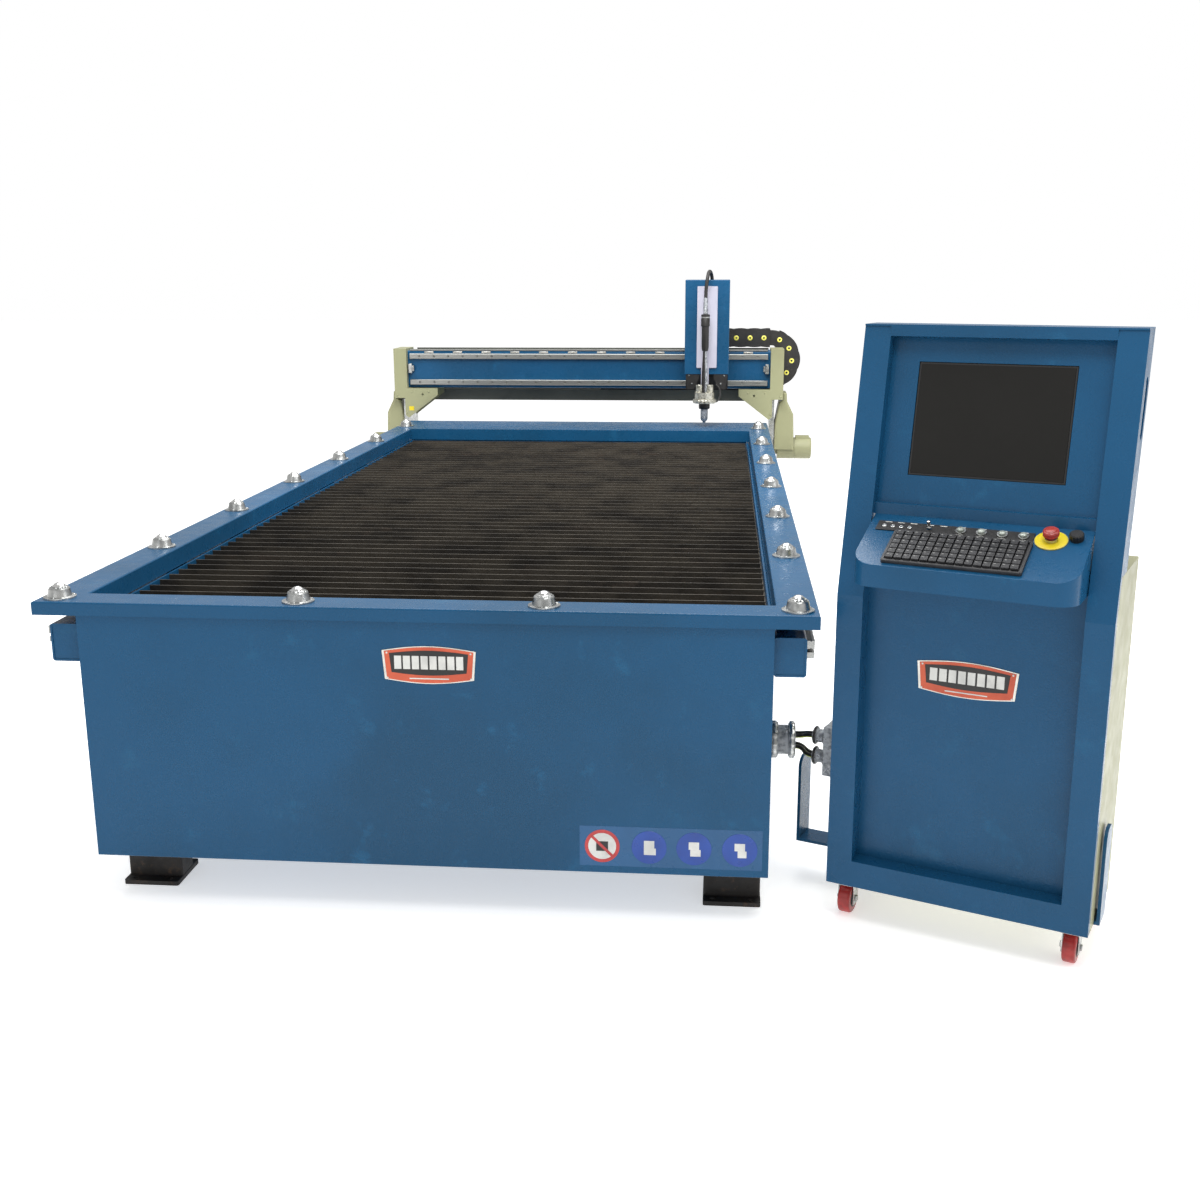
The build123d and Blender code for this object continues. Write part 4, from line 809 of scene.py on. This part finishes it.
@dataclass
class TableDress:
    """Rim, tank, slats, ball transfers, signs and the table's plaque."""

    panel_y: float = FRONT + 0.012
    ball_inset: float = 0.0516
    ball_z: float = 0.812
    sign_x: tuple[float, ...] = (0.452, 0.570, 0.682, 0.796)
    sign_r: float = 0.044
    sign_z: float = 0.2035

    finishes: dict[Finish, Sequence[str]] = field(default_factory=lambda: {
        BLUE: ("rim_front", "rim_rear", "rim_sides", "tank_front", "tank_panels", "side_beams"),
        SLAT: ("slats", "slat_combs"), LEG: ("support_legs",), GROUND_LONG: ("long_rails", "gear_racks"),
        ZINC: ("ball_housings",), CHROME: ("transfer_balls",)})

    def ball_places(self) -> Array:
        """Centres of the ball transfers: four along the front and six down each side."""
        across = np.linspace(-1, 1, 4) * (0.975 - self.ball_inset)
        front = np.column_stack([across, np.full(4, FRONT + self.ball_inset), np.full(4, self.ball_z)])
        along = FRONT + self.ball_inset + 0.643 * np.arange(1, 7)
        side = np.column_stack([np.full(6, 0.975 - self.ball_inset), along, np.full(6, self.ball_z)])
        return np.vstack([front, side, side * (-1, 1, 1)])

    def transfers(self, dresser: Dresser) -> None:
        """Puts a ribbed guard round each ball: radius times 1 + 0.1 cos 12a, fading to the mouth."""
        profile = [(0.0262, 0.0045), (0.0262, 0.0062), (0.0245, 0.0130), (0.0235, 0.0190), (0.0222, 0.0250),
                   (0.0202, 0.0290), (0.0190, 0.0300)]

        def ribs(angle: Array, height: Array) -> Array:
            """Twelve upright ribs, strongest half way up."""
            return 1.0 + 0.10 * np.cos(12 * angle) * np.sin(np.clip((height - 0.004) / 0.028, 0, 1) * TAU / 2)

        guard = lathe(profile, 96, ribs)
        dresser.piece("ball_guards", [copies(guard, self.ball_places())], ZINC, "table")
        screw = lathe([(0.0032, 0.0042), (0.0032, 0.0058), (0.0022, 0.0068), (0.0008, 0.0069)], 12)
        a = np.arange(3) * TAU / 3 + 0.5
        ring = np.column_stack([0.034 * np.cos(a), 0.034 * np.sin(a), np.zeros(3)])
        spots = (self.ball_places()[:, None] + ring[None]).reshape(-1, 3)
        dresser.piece("ball_screws", [copies(screw, spots)], ZINC, "table")

    def signs(self, dresser: Dresser) -> None:
        """Lays the clear film with its four round generic signs on the front panel."""
        wall = Place((0, self.panel_y, 0), (1, 0, 0), (0, 0, 1), (0, -1, 0))
        film = np.array([[0.395, 0.150], [0.852, 0.150], [0.852, 0.257], [0.395, 0.257]])
        dresser.piece("sign_film", [slab(film, 0.0004, 0.0001)], FILM, "table", wall,
                      smooth=False)
        blue, pale, red, dark = [], [], [], []
        for index, x in enumerate(self.sign_x):
            place = np.array([x, self.sign_z])
            if index == 0:
                red.append(slab(disc_outline(self.sign_r) + place, 0.0010, 0.0003))
                pale.append(slab(disc_outline(self.sign_r * 0.80) + place, 0.0014, 0.0002))
                dark.append(rounded_block((0.030, 0.026, 0.0006), 0.0002, (x, self.sign_z, 0.0015)))
                bar = Place((x, self.sign_z, 0.0019), (0.707, -0.707, 0), (0.707, 0.707, 0))
                red.append(rounded_block((0.074, 0.007, 0.0006), 0.0002).moved(bar))
                continue
            blue.append(slab(disc_outline(self.sign_r) + place, 0.0010, 0.0003))
            for dx, dz, w, h in ((0.0, 0.008, 0.026, 0.020),
                                 (0.002 * index, -0.011, 0.034 - 0.004 * index, 0.018)):
                pale.append(rounded_block((w, h, 0.0008), 0.0003, (x + dx, self.sign_z + dz, 0.0012)))
        for label, parts, finish in (("blue", blue, SIGN_BLUE), ("pale", pale, MARK), ("red", red, SIGN_RED),
                                     ("dark", dark, PLAQUE_BLACK)):
            dresser.piece(f"sign_{label}", parts, finish, "table", wall)

    def build(self, dresser: Dresser) -> None:
        """Dresses the table and adds its trim."""
        dresser.dress(self.finishes)
        self.transfers(dresser)
        self.signs(dresser)
        Plaque(Place((0.0255, self.panel_y, 0.6655), (1, 0, 0), (0, 0, 1), (0, -1, 0)), 0.235, 0.100,
               "table_plaque").build(dresser)


# ------------------------------------------------------------------ gantry
@dataclass
class GantryDress:
    """Beam, end covers, drives and the small hardware along the beam."""

    beam_y: float = GANTRY_Y + 0.040
    finishes: dict[Finish, Sequence[str]] = field(default_factory=lambda: {
        BLUE: ("gantry_beam",), BEIGE: ("end_plates", "drive_housings", "drive_motors"),
        # rear_cover gets the dark grey painted shade in place of its beige paint.
        GROUND: ("beam_rails",), ZINC: ("travel_feet", "drive_pinions"), BEIGE_COVER_PAINTED_SHADE: ("rear_cover",),
        CHAIN: ("chain_lower_run",), BLACK: ("carriage", "housing_brackets")})

    def strip(self, dresser: Dresser) -> None:
        """Adds the bright angle on the beam's upper edge, its cable clips and the end bumpers."""
        edge = [rounded_block((1.95, 0.010, 0.008), 0.001, (0, self.beam_y + 0.002, 1.189))]
        dresser.piece("beam_edge_strip", edge, GROUND, "gantry")
        clip = join([rounded_block(size, 0.0015) for size in ((0.050, 0.006, 0.009), (0.018, 0.009, 0.006))])
        spots = np.column_stack([np.linspace(-0.87, 0.87, 12), np.full(12, self.beam_y - 0.0035),
                                 np.full(12, 1.1765)])
        dresser.piece("beam_clips", [copies(clip, spots)], PLAQUE_RIM, "gantry")
        bumper = join([rounded_block((0.020, 0.030, 0.050), 0.003),
                       rounded_block((0.012, 0.022, 0.030), 0.003, (-0.014, 0, 0))])
        both = [bumper.moved(Place((0.972, self.beam_y - 0.0160, 1.090))),
                bumper.moved(Place((-0.972, self.beam_y - 0.0160, 1.090), (-1, 0, 0), (0, -1, 0)))]
        dresser.piece("end_bumpers", both, ZINC, "gantry")

    def screws(self, dresser: Dresser) -> None:
        """Adds button-head screws on both end covers and their brackets."""
        head = lathe([(0.0052, -0.0010), (0.0052, 0.0010), (0.0042, 0.0028), (0.0018, 0.0036)], 14)
        face = Place((0, GANTRY_Y, 0), (1, 0, 0), (0, 0, 1), (0, -1, 0))
        spots = np.array([[s * x, z, 0.0] for s in (-1, 1) for x, z in
                          ((0.962, 0.965), (0.870, 0.966), (1.046, 0.945), (0.995, 0.850))])
        dresser.piece("cover_screws", [copies(head, spots)], BEIGE, "gantry", face)
        label = np.array([[-0.982, 0.862], [-0.955, 0.862], [-0.955, 0.885], [-0.982, 0.885]])
        dresser.piece("plain_label", [slab(label, 0.0006, 0.0001)], YELLOW, "gantry", face,
                      smooth=False)

    def build(self, dresser: Dresser) -> None:
        """Dresses the gantry and adds its hardware."""
        dresser.dress(self.finishes)
        self.strip(dresser)
        self.screws(dresser)


@dataclass
class ChainDress:
    """Link plates and pins of the energy chain."""

    y: float = GANTRY_Y + 0.228
    z: float = 1.2475
    bend: tuple[float, float] = (0.995, 0.115)
    pitch: float = 0.075

    def plate(self, path: Array, rise: Array, half: float, side: float) -> Shell:
        """Scalloped plate: path point plus rise times (half + 0.0045 |cos(pi s / pitch)|^0.6), on one side.

        Args:
            path: Rows of centre points in the chain's plane.
            rise: Unit vectors across the chain in that plane.
            half: Half the height at a scallop's foot.
            side: Distance of the plate's outer face from the chain's middle, with its sign.

        Returns:
            A closed shell.
        """
        s = np.concatenate([[0.0], np.cumsum(np.linalg.norm(np.diff(path, axis=0), axis=1))])
        wave = half + 0.0045 * np.abs(np.cos(math.pi * s / self.pitch)) ** 0.6
        inner = side - math.copysign(0.0025, side)
        section = [(1, inner), (1, side), (0.5, side), (0, side), (-0.5, side), (-1, side), (-1, inner)]
        rows = [path + rise * (k * wave)[:, None] + np.array([0, y, 0]) for k, y in section]
        return grid(np.stack(rows, axis=1))

    def pins(self, centres: Array, side: float) -> tuple[Shell, Shell]:
        """Bright pin and its dark centre at each hinge, turned about Y."""
        place = Place((0, side, 0), (1, 0, 0), (0, 0, 1), (0, math.copysign(1, side), 0))
        ring = lathe([(0.0135, -0.001), (0.0135, 0.0012), (0.0120, 0.0022), (0.0062, 0.0022),
                      (0.0056, 0.0010), (0.0015, 0.0010)], 24).moved(place)
        stud = lathe([(0.0046, 0.0004), (0.0044, 0.0022), (0.0020, 0.0026)], 14).moved(place)
        return copies(ring, centres), copies(stud, centres)

    def on_bend(self, angle: Array) -> Array:
        """Points of the bend's centreline: radius times (sin a, cos a) about the bend's middle."""
        middle_x, radius = self.bend
        return np.column_stack([middle_x + radius * np.sin(angle), np.full_like(angle, self.y),
                                self.z - radius + radius * np.cos(angle)])

    def build(self, dresser: Dresser) -> None:
        """Adds plates and pins to the outer run and to the bend."""
        dresser.dress({CHAIN: ("chain_outer_run", "chain_middle_run", "chain_inner_run")})
        x = np.linspace(0.604, 0.989, 78)
        line = np.column_stack([x, np.full_like(x, self.y), np.full_like(x, self.z)])
        up = np.tile([0.0, 0.0, 1.0], (len(x), 1))
        first = np.column_stack([0.656 + self.pitch * np.arange(5), np.full(5, self.y), np.full(5, self.z)])
        angle = np.linspace(math.radians(17), math.radians(180), 90)
        out = np.column_stack([np.sin(angle), np.zeros_like(angle), np.cos(angle)])
        arc = self.on_bend(angle)
        second = self.on_bend(np.radians(24.0 + 35.0 * np.arange(5)))
        for name, body, path, rise, half, side, sunk, pins in (
                ("outer", "carriage", line, up, 0.0455, 0.0358, 0.0, first),
                ("bend", "chain_inner", arc, out, 0.0415, 0.0288, 0.0014, second)):
            plates = [self.plate(path, rise, half, s) for s in (-side, side)]
            dresser.piece(f"chain_plates_{name}", plates, CHAIN, body)
            rings, studs = zip(*(self.pins(pins, s) for s in (sunk - side, side - sunk)))
            dresser.piece(f"chain_pins_{name}", rings, LIME, body)
            dresser.piece(f"chain_studs_{name}", studs, BLACK, body)


@dataclass
class TorchDress:
    """Housing, slide panel, torch, clamp and hoses."""

    axis: Place = Place((TORCH_X, TORCH_Y, 0.0))
    lead: tuple[tuple[float, float, float], ...] = (
        (0.0, 0.0, 1.470), (0.0, 0.0, 1.505), (0.003, -0.001, 1.536), (0.007, 0.0, 1.570),
        (0.013, 0.032, 1.602), (0.022, 0.078, 1.602), (0.030, 0.110, 1.570), (0.030, 0.110, 1.532),
        (0.031, 0.110, 1.486), (0.031, 0.111, 1.430), (0.030, 0.111, 1.370))
    finishes: dict[Finish, Sequence[str]] = field(default_factory=lambda: {
        BLUE: ("z_housing",), LILAC: ("slide_plate",), CASTING: ("torch_clamp",), ZINC: ("lift_screw",),
        BLACK: ("torch_body",), SLEEVE: ("torch_nozzle",)})

    def barrel(self, dresser: Dresser) -> None:
        """Turned torch body above two tubes that run down into the clamp."""
        body = lathe([(0.0060, 1.200), (0.0155, 1.204), (0.0185, 1.224), (0.0190, 1.326), (0.0225, 1.329),
                      (0.0225, 1.366), (0.0205, 1.369), (0.0205, 1.377), (0.0225, 1.379), (0.0225, 1.386),
                      (0.0115, 1.390), (0.0060, 1.391)], 40)
        down = np.column_stack([np.zeros(9), np.zeros(9), np.linspace(1.212, 0.985, 9)])
        spread = np.sin(np.linspace(0.15, 1, 9) * TAU / 4)[:, None] * np.array([0.0085, 0.0, 0.0])
        left = tube(down - spread, 0.0080, (0, 1, 0), 20)
        right = tube(down + spread, 0.0078, (0, 1, 0), 20)
        dresser.piece("torch_barrel", [body, left], BLACK, "torch", self.axis,
                      replaces=("torch_body",))
        dresser.piece("torch_gas_tube", [right], SLEEVE, "torch", self.axis)
        ring = lathe([(0.0208, 1.3695), (0.0218, 1.3700), (0.0218, 1.3760), (0.0208, 1.3765)], 40)
        dresser.piece("torch_ring", [ring], ZINC, "torch", self.axis)
        sleeve = lathe([(0.0105, 1.388), (0.0120, 1.392), (0.0114, 1.400), (0.0112, 1.462),
                        (0.0104, 1.471)], 28)
        dresser.piece("torch_sleeve", [sleeve], SLEEVE, "torch", self.axis)

    def clamp(self, dresser: Dresser) -> None:
        """Knurled crown, dark collar and sensor loop: radius times 1 + 0.035 cos 18a round the crown."""

        def knurl(angle: Array, height: Array) -> Array:
            """Eighteen lobes that fade at the crown's two rims."""
            fade = np.sin(np.clip((height - 0.937) / 0.018, 0, 1) * TAU / 2)
            return 1.0 + 0.035 * np.cos(18 * angle) * fade

        crown = lathe([(0.040, 0.9365), (0.0575, 0.9375), (0.0592, 0.9400), (0.0592, 0.9520),
                       (0.0575, 0.9550), (0.040, 0.9560)], 144, knurl)
        bolt = lathe([(0.0045, 0.0), (0.0045, 0.0050), (0.0036, 0.0062), (0.0014, 0.0064)], 12)
        a = np.arange(8) * TAU / 8 + 0.2
        spots = np.column_stack([0.042 * np.cos(a), 0.042 * np.sin(a), np.full(8, 0.9895)])
        dresser.piece("clamp_crown", [crown, copies(bolt, spots)], CASTING, "torch", self.axis)
        collar = lathe([(0.0195, 0.904), (0.0270, 0.906), (0.0290, 0.912), (0.0290, 0.926), (0.0260, 0.9360),
                        (0.0195, 0.9362)], 40)
        dresser.piece("torch_collar", [collar], BLACK, "torch", self.axis)
        a = np.linspace(-1.25, 1.35, 22)
        loop = np.column_stack([0.052 + 0.030 * np.cos(a), 0.012 * np.sin(a * 0.8),
                                0.985 + 0.045 * np.sin(a)])
        dresser.piece("sensor_loop", [tube(loop, 0.0035, (0, 1, 0), 12)], RUBBER, "torch",
                      self.axis)

    def build(self, dresser: Dresser) -> None:
        """Dresses the torch and adds its tubes and hoses."""
        dresser.dress(self.finishes)
        self.barrel(dresser)
        self.clamp(dresser)
        line = smooth_path(self.lead, 12)
        dresser.piece("lead_hose", [tube(line, 0.009, (1, 0, 0), 20)], RUBBER, "torch",
                      self.axis, replaces=("torch_lead",))
        head = lathe([(0.0048, -0.0010), (0.0048, 0.0016), (0.0036, 0.0030), (0.0015, 0.0033)], 14)
        face = Place((CARRIAGE_X, GANTRY_Y - 0.196, 0), (1, 0, 0), (0, 0, 1), (0, -1, 0))
        spots = np.array([[s * x, z, 0.0] for s in (-1, 1) for x, z in ((0.075, 1.030), (0.092, 1.072))])
        dresser.piece("bracket_screws", [copies(head, spots)], ZINC, "carriage", face)


# ------------------------------------------------------------------ console
TURN = math.radians(23.7)
CONSOLE = Place((1.017, -2.026, 0.0), (math.cos(TURN), -math.sin(TURN), 0.0),
                (math.sin(TURN), math.cos(TURN), 0.0))


def tilted(x: float, y: float, z: float, angle: float, upright: bool) -> Place:
    """A console plane whose Z is its outward normal.

    Args:
        x: Local X of the origin.
        y: Local Y of the origin.
        z: Height of the origin.
        angle: Lean of an upright plane, or rise of a shelf plane.
        upright: True for a plane that faces forwards, False for one that faces up.

    Returns:
        The place on the console.
    """
    back = np.array(CONSOLE.y)
    high = np.array([0.0, 0.0, 1.0])
    s, c = math.sin(angle), math.cos(angle)
    if upright:
        up, out = back * s + high * c, high * s - back * c
    else:
        up, out = back * c + high * s, high * c - back * s
    return Place(tuple(CONSOLE.at((x, y, z))), CONSOLE.x, tuple(up), tuple(out))


SHELF = tilted(0.0, -0.122, 0.957, math.atan2(0.086, 0.184), False)
SCREEN_TILT = math.atan2(0.162 - 0.079, 1.453 - 1.070)
SCREEN_FACE = tilted(0.311, 0.079 + 0.197 * math.tan(SCREEN_TILT), 1.267, SCREEN_TILT, True)


@dataclass
class ConsoleDress:
    """Frame, cabinet, screen, shelf, keyboard, controls and the cables to the tank."""

    keys_x: tuple[float, float] = (0.136, 0.450)
    keys_s: tuple[float, float] = (0.012, 0.133)
    buttons: dict[str, float] = field(default_factory=lambda: {
        "cycle": 0.282, "pause": 0.329, "stop": 0.376, "reset": 0.423})
    finishes: dict[Finish, Sequence[str]] = field(default_factory=lambda: {
        BLUE: ("console_frame", "keyboard_shelf", "side_guards"), BEIGE: ("console_cabinet", "cabinet_door"),
        BEZEL: ("monitor",), KEY: ("keyboard_base", "keyboard_keys"), BLACK: ("control_plate",),
        ZINC: ("button_rings", "toggle_lever"), RED_KNOB: ("estop_button",), SLEEVE: ("cable_glands",),
        BUTTON: ("cycle_button", "pause_button", "stop_button", "reset_button")})

    def screen(self, dresser: Dresser) -> None:
        """Adds the dark glass in front of the monitor, with a thin bevel all round."""
        edge = np.array([[-0.1755, -0.1285], [0.1755, -0.1285], [0.1755, 0.1285], [-0.1755, 0.1285]])
        dresser.piece("screen_glass", [slab(edge, 0.0016, 0.0008)], SCREEN, "table",
                      SCREEN_FACE.shifted(0, 0, -0.0021), smooth=False)

    def keyboard(self, dresser: Dresser) -> None:
        """Adds a grey mark on every key, plain captions round the controls and four small jacks."""
        across = np.mean(self.keys_x) + (np.arange(15) - 7) * 0.0199
        down = np.mean(self.keys_s) + 0.0005 + (np.arange(6) - 2.5) * 0.0182
        spots = np.array([[x - 0.0035, s + 0.0030, 0.01405] for x in across for s in down])
        mark = rounded_block((0.0046, 0.0022, 0.0004), 0.00015, k=1)
        dresser.piece("key_marks", [copies(mark, spots)], KEY_MARK, "keys", SHELF,
                      smooth=False)
        dash = rounded_block((0.016, 0.0022, 0.0005), 0.0002, k=1)
        rows = np.array([[x, s, 0.00265] for x in self.buttons.values() for s in (0.1410, 0.1705)]
                        + [[x, 0.1690, 0.00265] for x in (0.110, 0.140, 0.170, 0.209, 0.240)])
        dresser.piece("control_captions", [copies(dash, rows)], MARK, "table", SHELF,
                      smooth=False)
        jack = lathe([(0.0055, 0.0024), (0.0055, 0.0040), (0.0042, 0.0046), (0.0030, 0.0036),
                      (0.0010, 0.0036)], 16)
        holes = np.array([[x, 0.153, 0.0] for x in (0.104, 0.124, 0.144, 0.164)])
        dresser.piece("strip_jacks", [copies(jack, holes)], ZINC, "table", SHELF)

    def controls(self, dresser: Dresser) -> None:
        """Adds the yellow disc, the stop knob's crown, the domes of the buttons and the ribbed cap."""
        disc = lathe([(0.0358, 0.0002), (0.0364, 0.0012), (0.0364, 0.0026), (0.0350, 0.0031),
                      (0.0145, 0.0031), (0.0145, 0.0034), (0.0100, 0.0034), (0.0100, 0.0004)], 64)
        base = SHELF.shifted(0.484, 0.152, 0.0)
        dresser.piece("estop_disc", [disc], YELLOW, "table", base)
        crown = lathe([(0.0120, 0.0290), (0.0125, 0.0305), (0.0090, 0.0322), (0.0020, 0.0326)], 36)
        dresser.piece("estop_crown", [crown], RED_KNOB, "estop", base)
        for name, x in self.buttons.items():
            dome = lathe([(0.0066, 0.0104), (0.0062, 0.0112), (0.0038, 0.0120), (0.0010, 0.0122)], 24)
            dresser.piece(f"{name}_dome", [dome], BUTTON, name, SHELF.shifted(x, 0.156, 0.0))

        def ribs(angle: Array, _height: Array) -> Array:
            """Sixteen grip ribs of even height."""
            return 1.0 + 0.04 * np.cos(16 * angle)

        cap = lathe([(0.0152, 0.0030), (0.0156, 0.0050), (0.0156, 0.0150), (0.0130, 0.0172),
                     (0.0040, 0.0174)], 96, ribs)
        dresser.piece("shelf_cap", [cap], BLACK, "table", SHELF.shifted(0.536, 0.166, 0.0))
        tip = lathe([(0.0030, 0.0120), (0.0042, 0.0135), (0.0045, 0.0170), (0.0040, 0.0190),
                     (0.0014, 0.0198)], 20)
        dresser.piece("toggle_tip", [tip], CHROME, "toggle",
                      SHELF.shifted(0.209, 0.156, 0.0047))

    def cables(self, dresser: Dresser) -> None:
        """Adds four striped cables and the ribbed nuts of the glands."""
        lines = []
        start_x = 0.868 + 0.068
        for (dy, dz), across, height in (((-0.015, 0.016), -0.009, 0.452), ((0.014, 0.013), 0.009, 0.452),
                                         ((-0.012, -0.014), -0.009, 0.398), ((0.015, -0.016), 0.009, 0.398)):
            near = np.array([start_x, FRONT + 0.230 + dy, 0.422 + dz])
            far = CONSOLE.at((-0.076, 0.090 + across, height))
            points = [near, near + (0.017, 0, 0), far - np.array(CONSOLE.x) * 0.017, far]
            lines.append(tube(smooth_path(points, 12), 0.0055, (0, 0.3, 1), 24))
        dresser.piece("console_leads", lines, CABLE, "table", replaces=("console_cables",))

        def grip(angle: Array, _height: Array) -> Array:
            """Ten flats of a gland nut."""
            return 1.0 + 0.035 * np.cos(10 * angle)

        tank = Place((0.868, FRONT + 0.230, 0.422), (0, 1, 0), (0, 0, 1), (1, 0, 0))
        nut = [lathe([(0.030, a), (0.0455, a + 0.001), (0.0468, a + 0.004), (0.0468, b - 0.004),
                      (0.0455, b - 0.001), (0.030, b)], 120, grip)
               for a, b in ((0.006, 0.023), (0.053, 0.0675))]
        dresser.piece("tank_gland_nuts", nut, ZINC, "table", tank)
        small = []
        for height in (0.452, 0.398):
            seat = Place(tuple(CONSOLE.at((-0.040, 0.090, height))), CONSOLE.y, (0, 0, 1),
                         tuple(-np.array(CONSOLE.x)))
            for a, b in ((0.0005, 0.0085), (0.0275, 0.0360)):
                profile = [(0.012, a), (0.0222, a + 0.001), (0.0228, b - 0.002), (0.012, b)]
                small.append(lathe(profile, 80, grip).moved(seat))
        dresser.piece("console_gland_nuts", small, BLACK, "table")

    def build(self, dresser: Dresser) -> None:
        """Dresses the console and adds its small parts."""
        dresser.dress(self.finishes)
        self.screen(dresser)
        self.keyboard(dresser)
        self.controls(dresser)
        self.cables(dresser)
        Plaque(tilted(0.310, 0.050, 0.662, 0.0, True), 0.240, 0.092, "console_plaque").build(dresser)


@dataclass
class CasterDress:
    """Wheels, forks and hubs of the four casters."""

    x: tuple[float, float] = (0.038, 0.592)
    y: tuple[float, float] = (0.042, 0.258)
    radius: float = 0.040
    width: float = 0.032
    trail: float = 0.022

    def build(self, dresser: Dresser) -> None:
        """Adds a stepped hub on both sides of each wheel and a nut on each axle."""
        for row, y in zip(("front", "rear"), self.y):
            for side, x in zip(("left", "right"), self.x):
                key = f"{row}_{side}"
                dresser.dress({ZINC: (f"caster_fork_{key}",), RED_TYRE: (f"caster_wheel_{key}",)})
                hub, nut = [], []
                for way in (-1, 1):
                    out = tuple(way * np.array(CONSOLE.x))
                    seat = Place(tuple(CONSOLE.at((x + way * self.width / 2, y + self.trail, self.radius))),
                                 CONSOLE.y, (0.0, 0.0, 1.0), out)
                    hub.append(lathe([(0.0085, -0.001), (0.0240, -0.0005), (0.0235, 0.0006), (0.0130, 0.0010),
                                      (0.0120, 0.0020), (0.0085, 0.0022)], 36).moved(seat))
                    nut.append(lathe([(0.0030, 0.0056), (0.0080, 0.0058), (0.0082, 0.0080), (0.0078, 0.0098),
                                      (0.0040, 0.0102)], 6).moved(seat))
                dresser.piece(f"hub_{key}", hub, BLACK, f"wheel_{key}")
                dresser.piece(f"axle_nut_{key}", nut, ZINC, f"fork_{key}")


def main() -> None:
    """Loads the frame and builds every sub-assembly in order."""
    logging.basicConfig(level=logging.INFO, format="%(name)s: %(message)s")
    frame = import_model()
    studio = Studio()
    studio.camera()
    dresser = Dresser(Effects(), nodes=frame["nodes"])
    studio.lights()
    studio.floor(dresser)
    for part in (TableDress(), GantryDress(), ChainDress(), TorchDress(), ConsoleDress(), CasterDress()):
        part.build(dresser)
        LOG.info("%s ready", type(part).__name__)


if __name__ == "__main__":
    main()
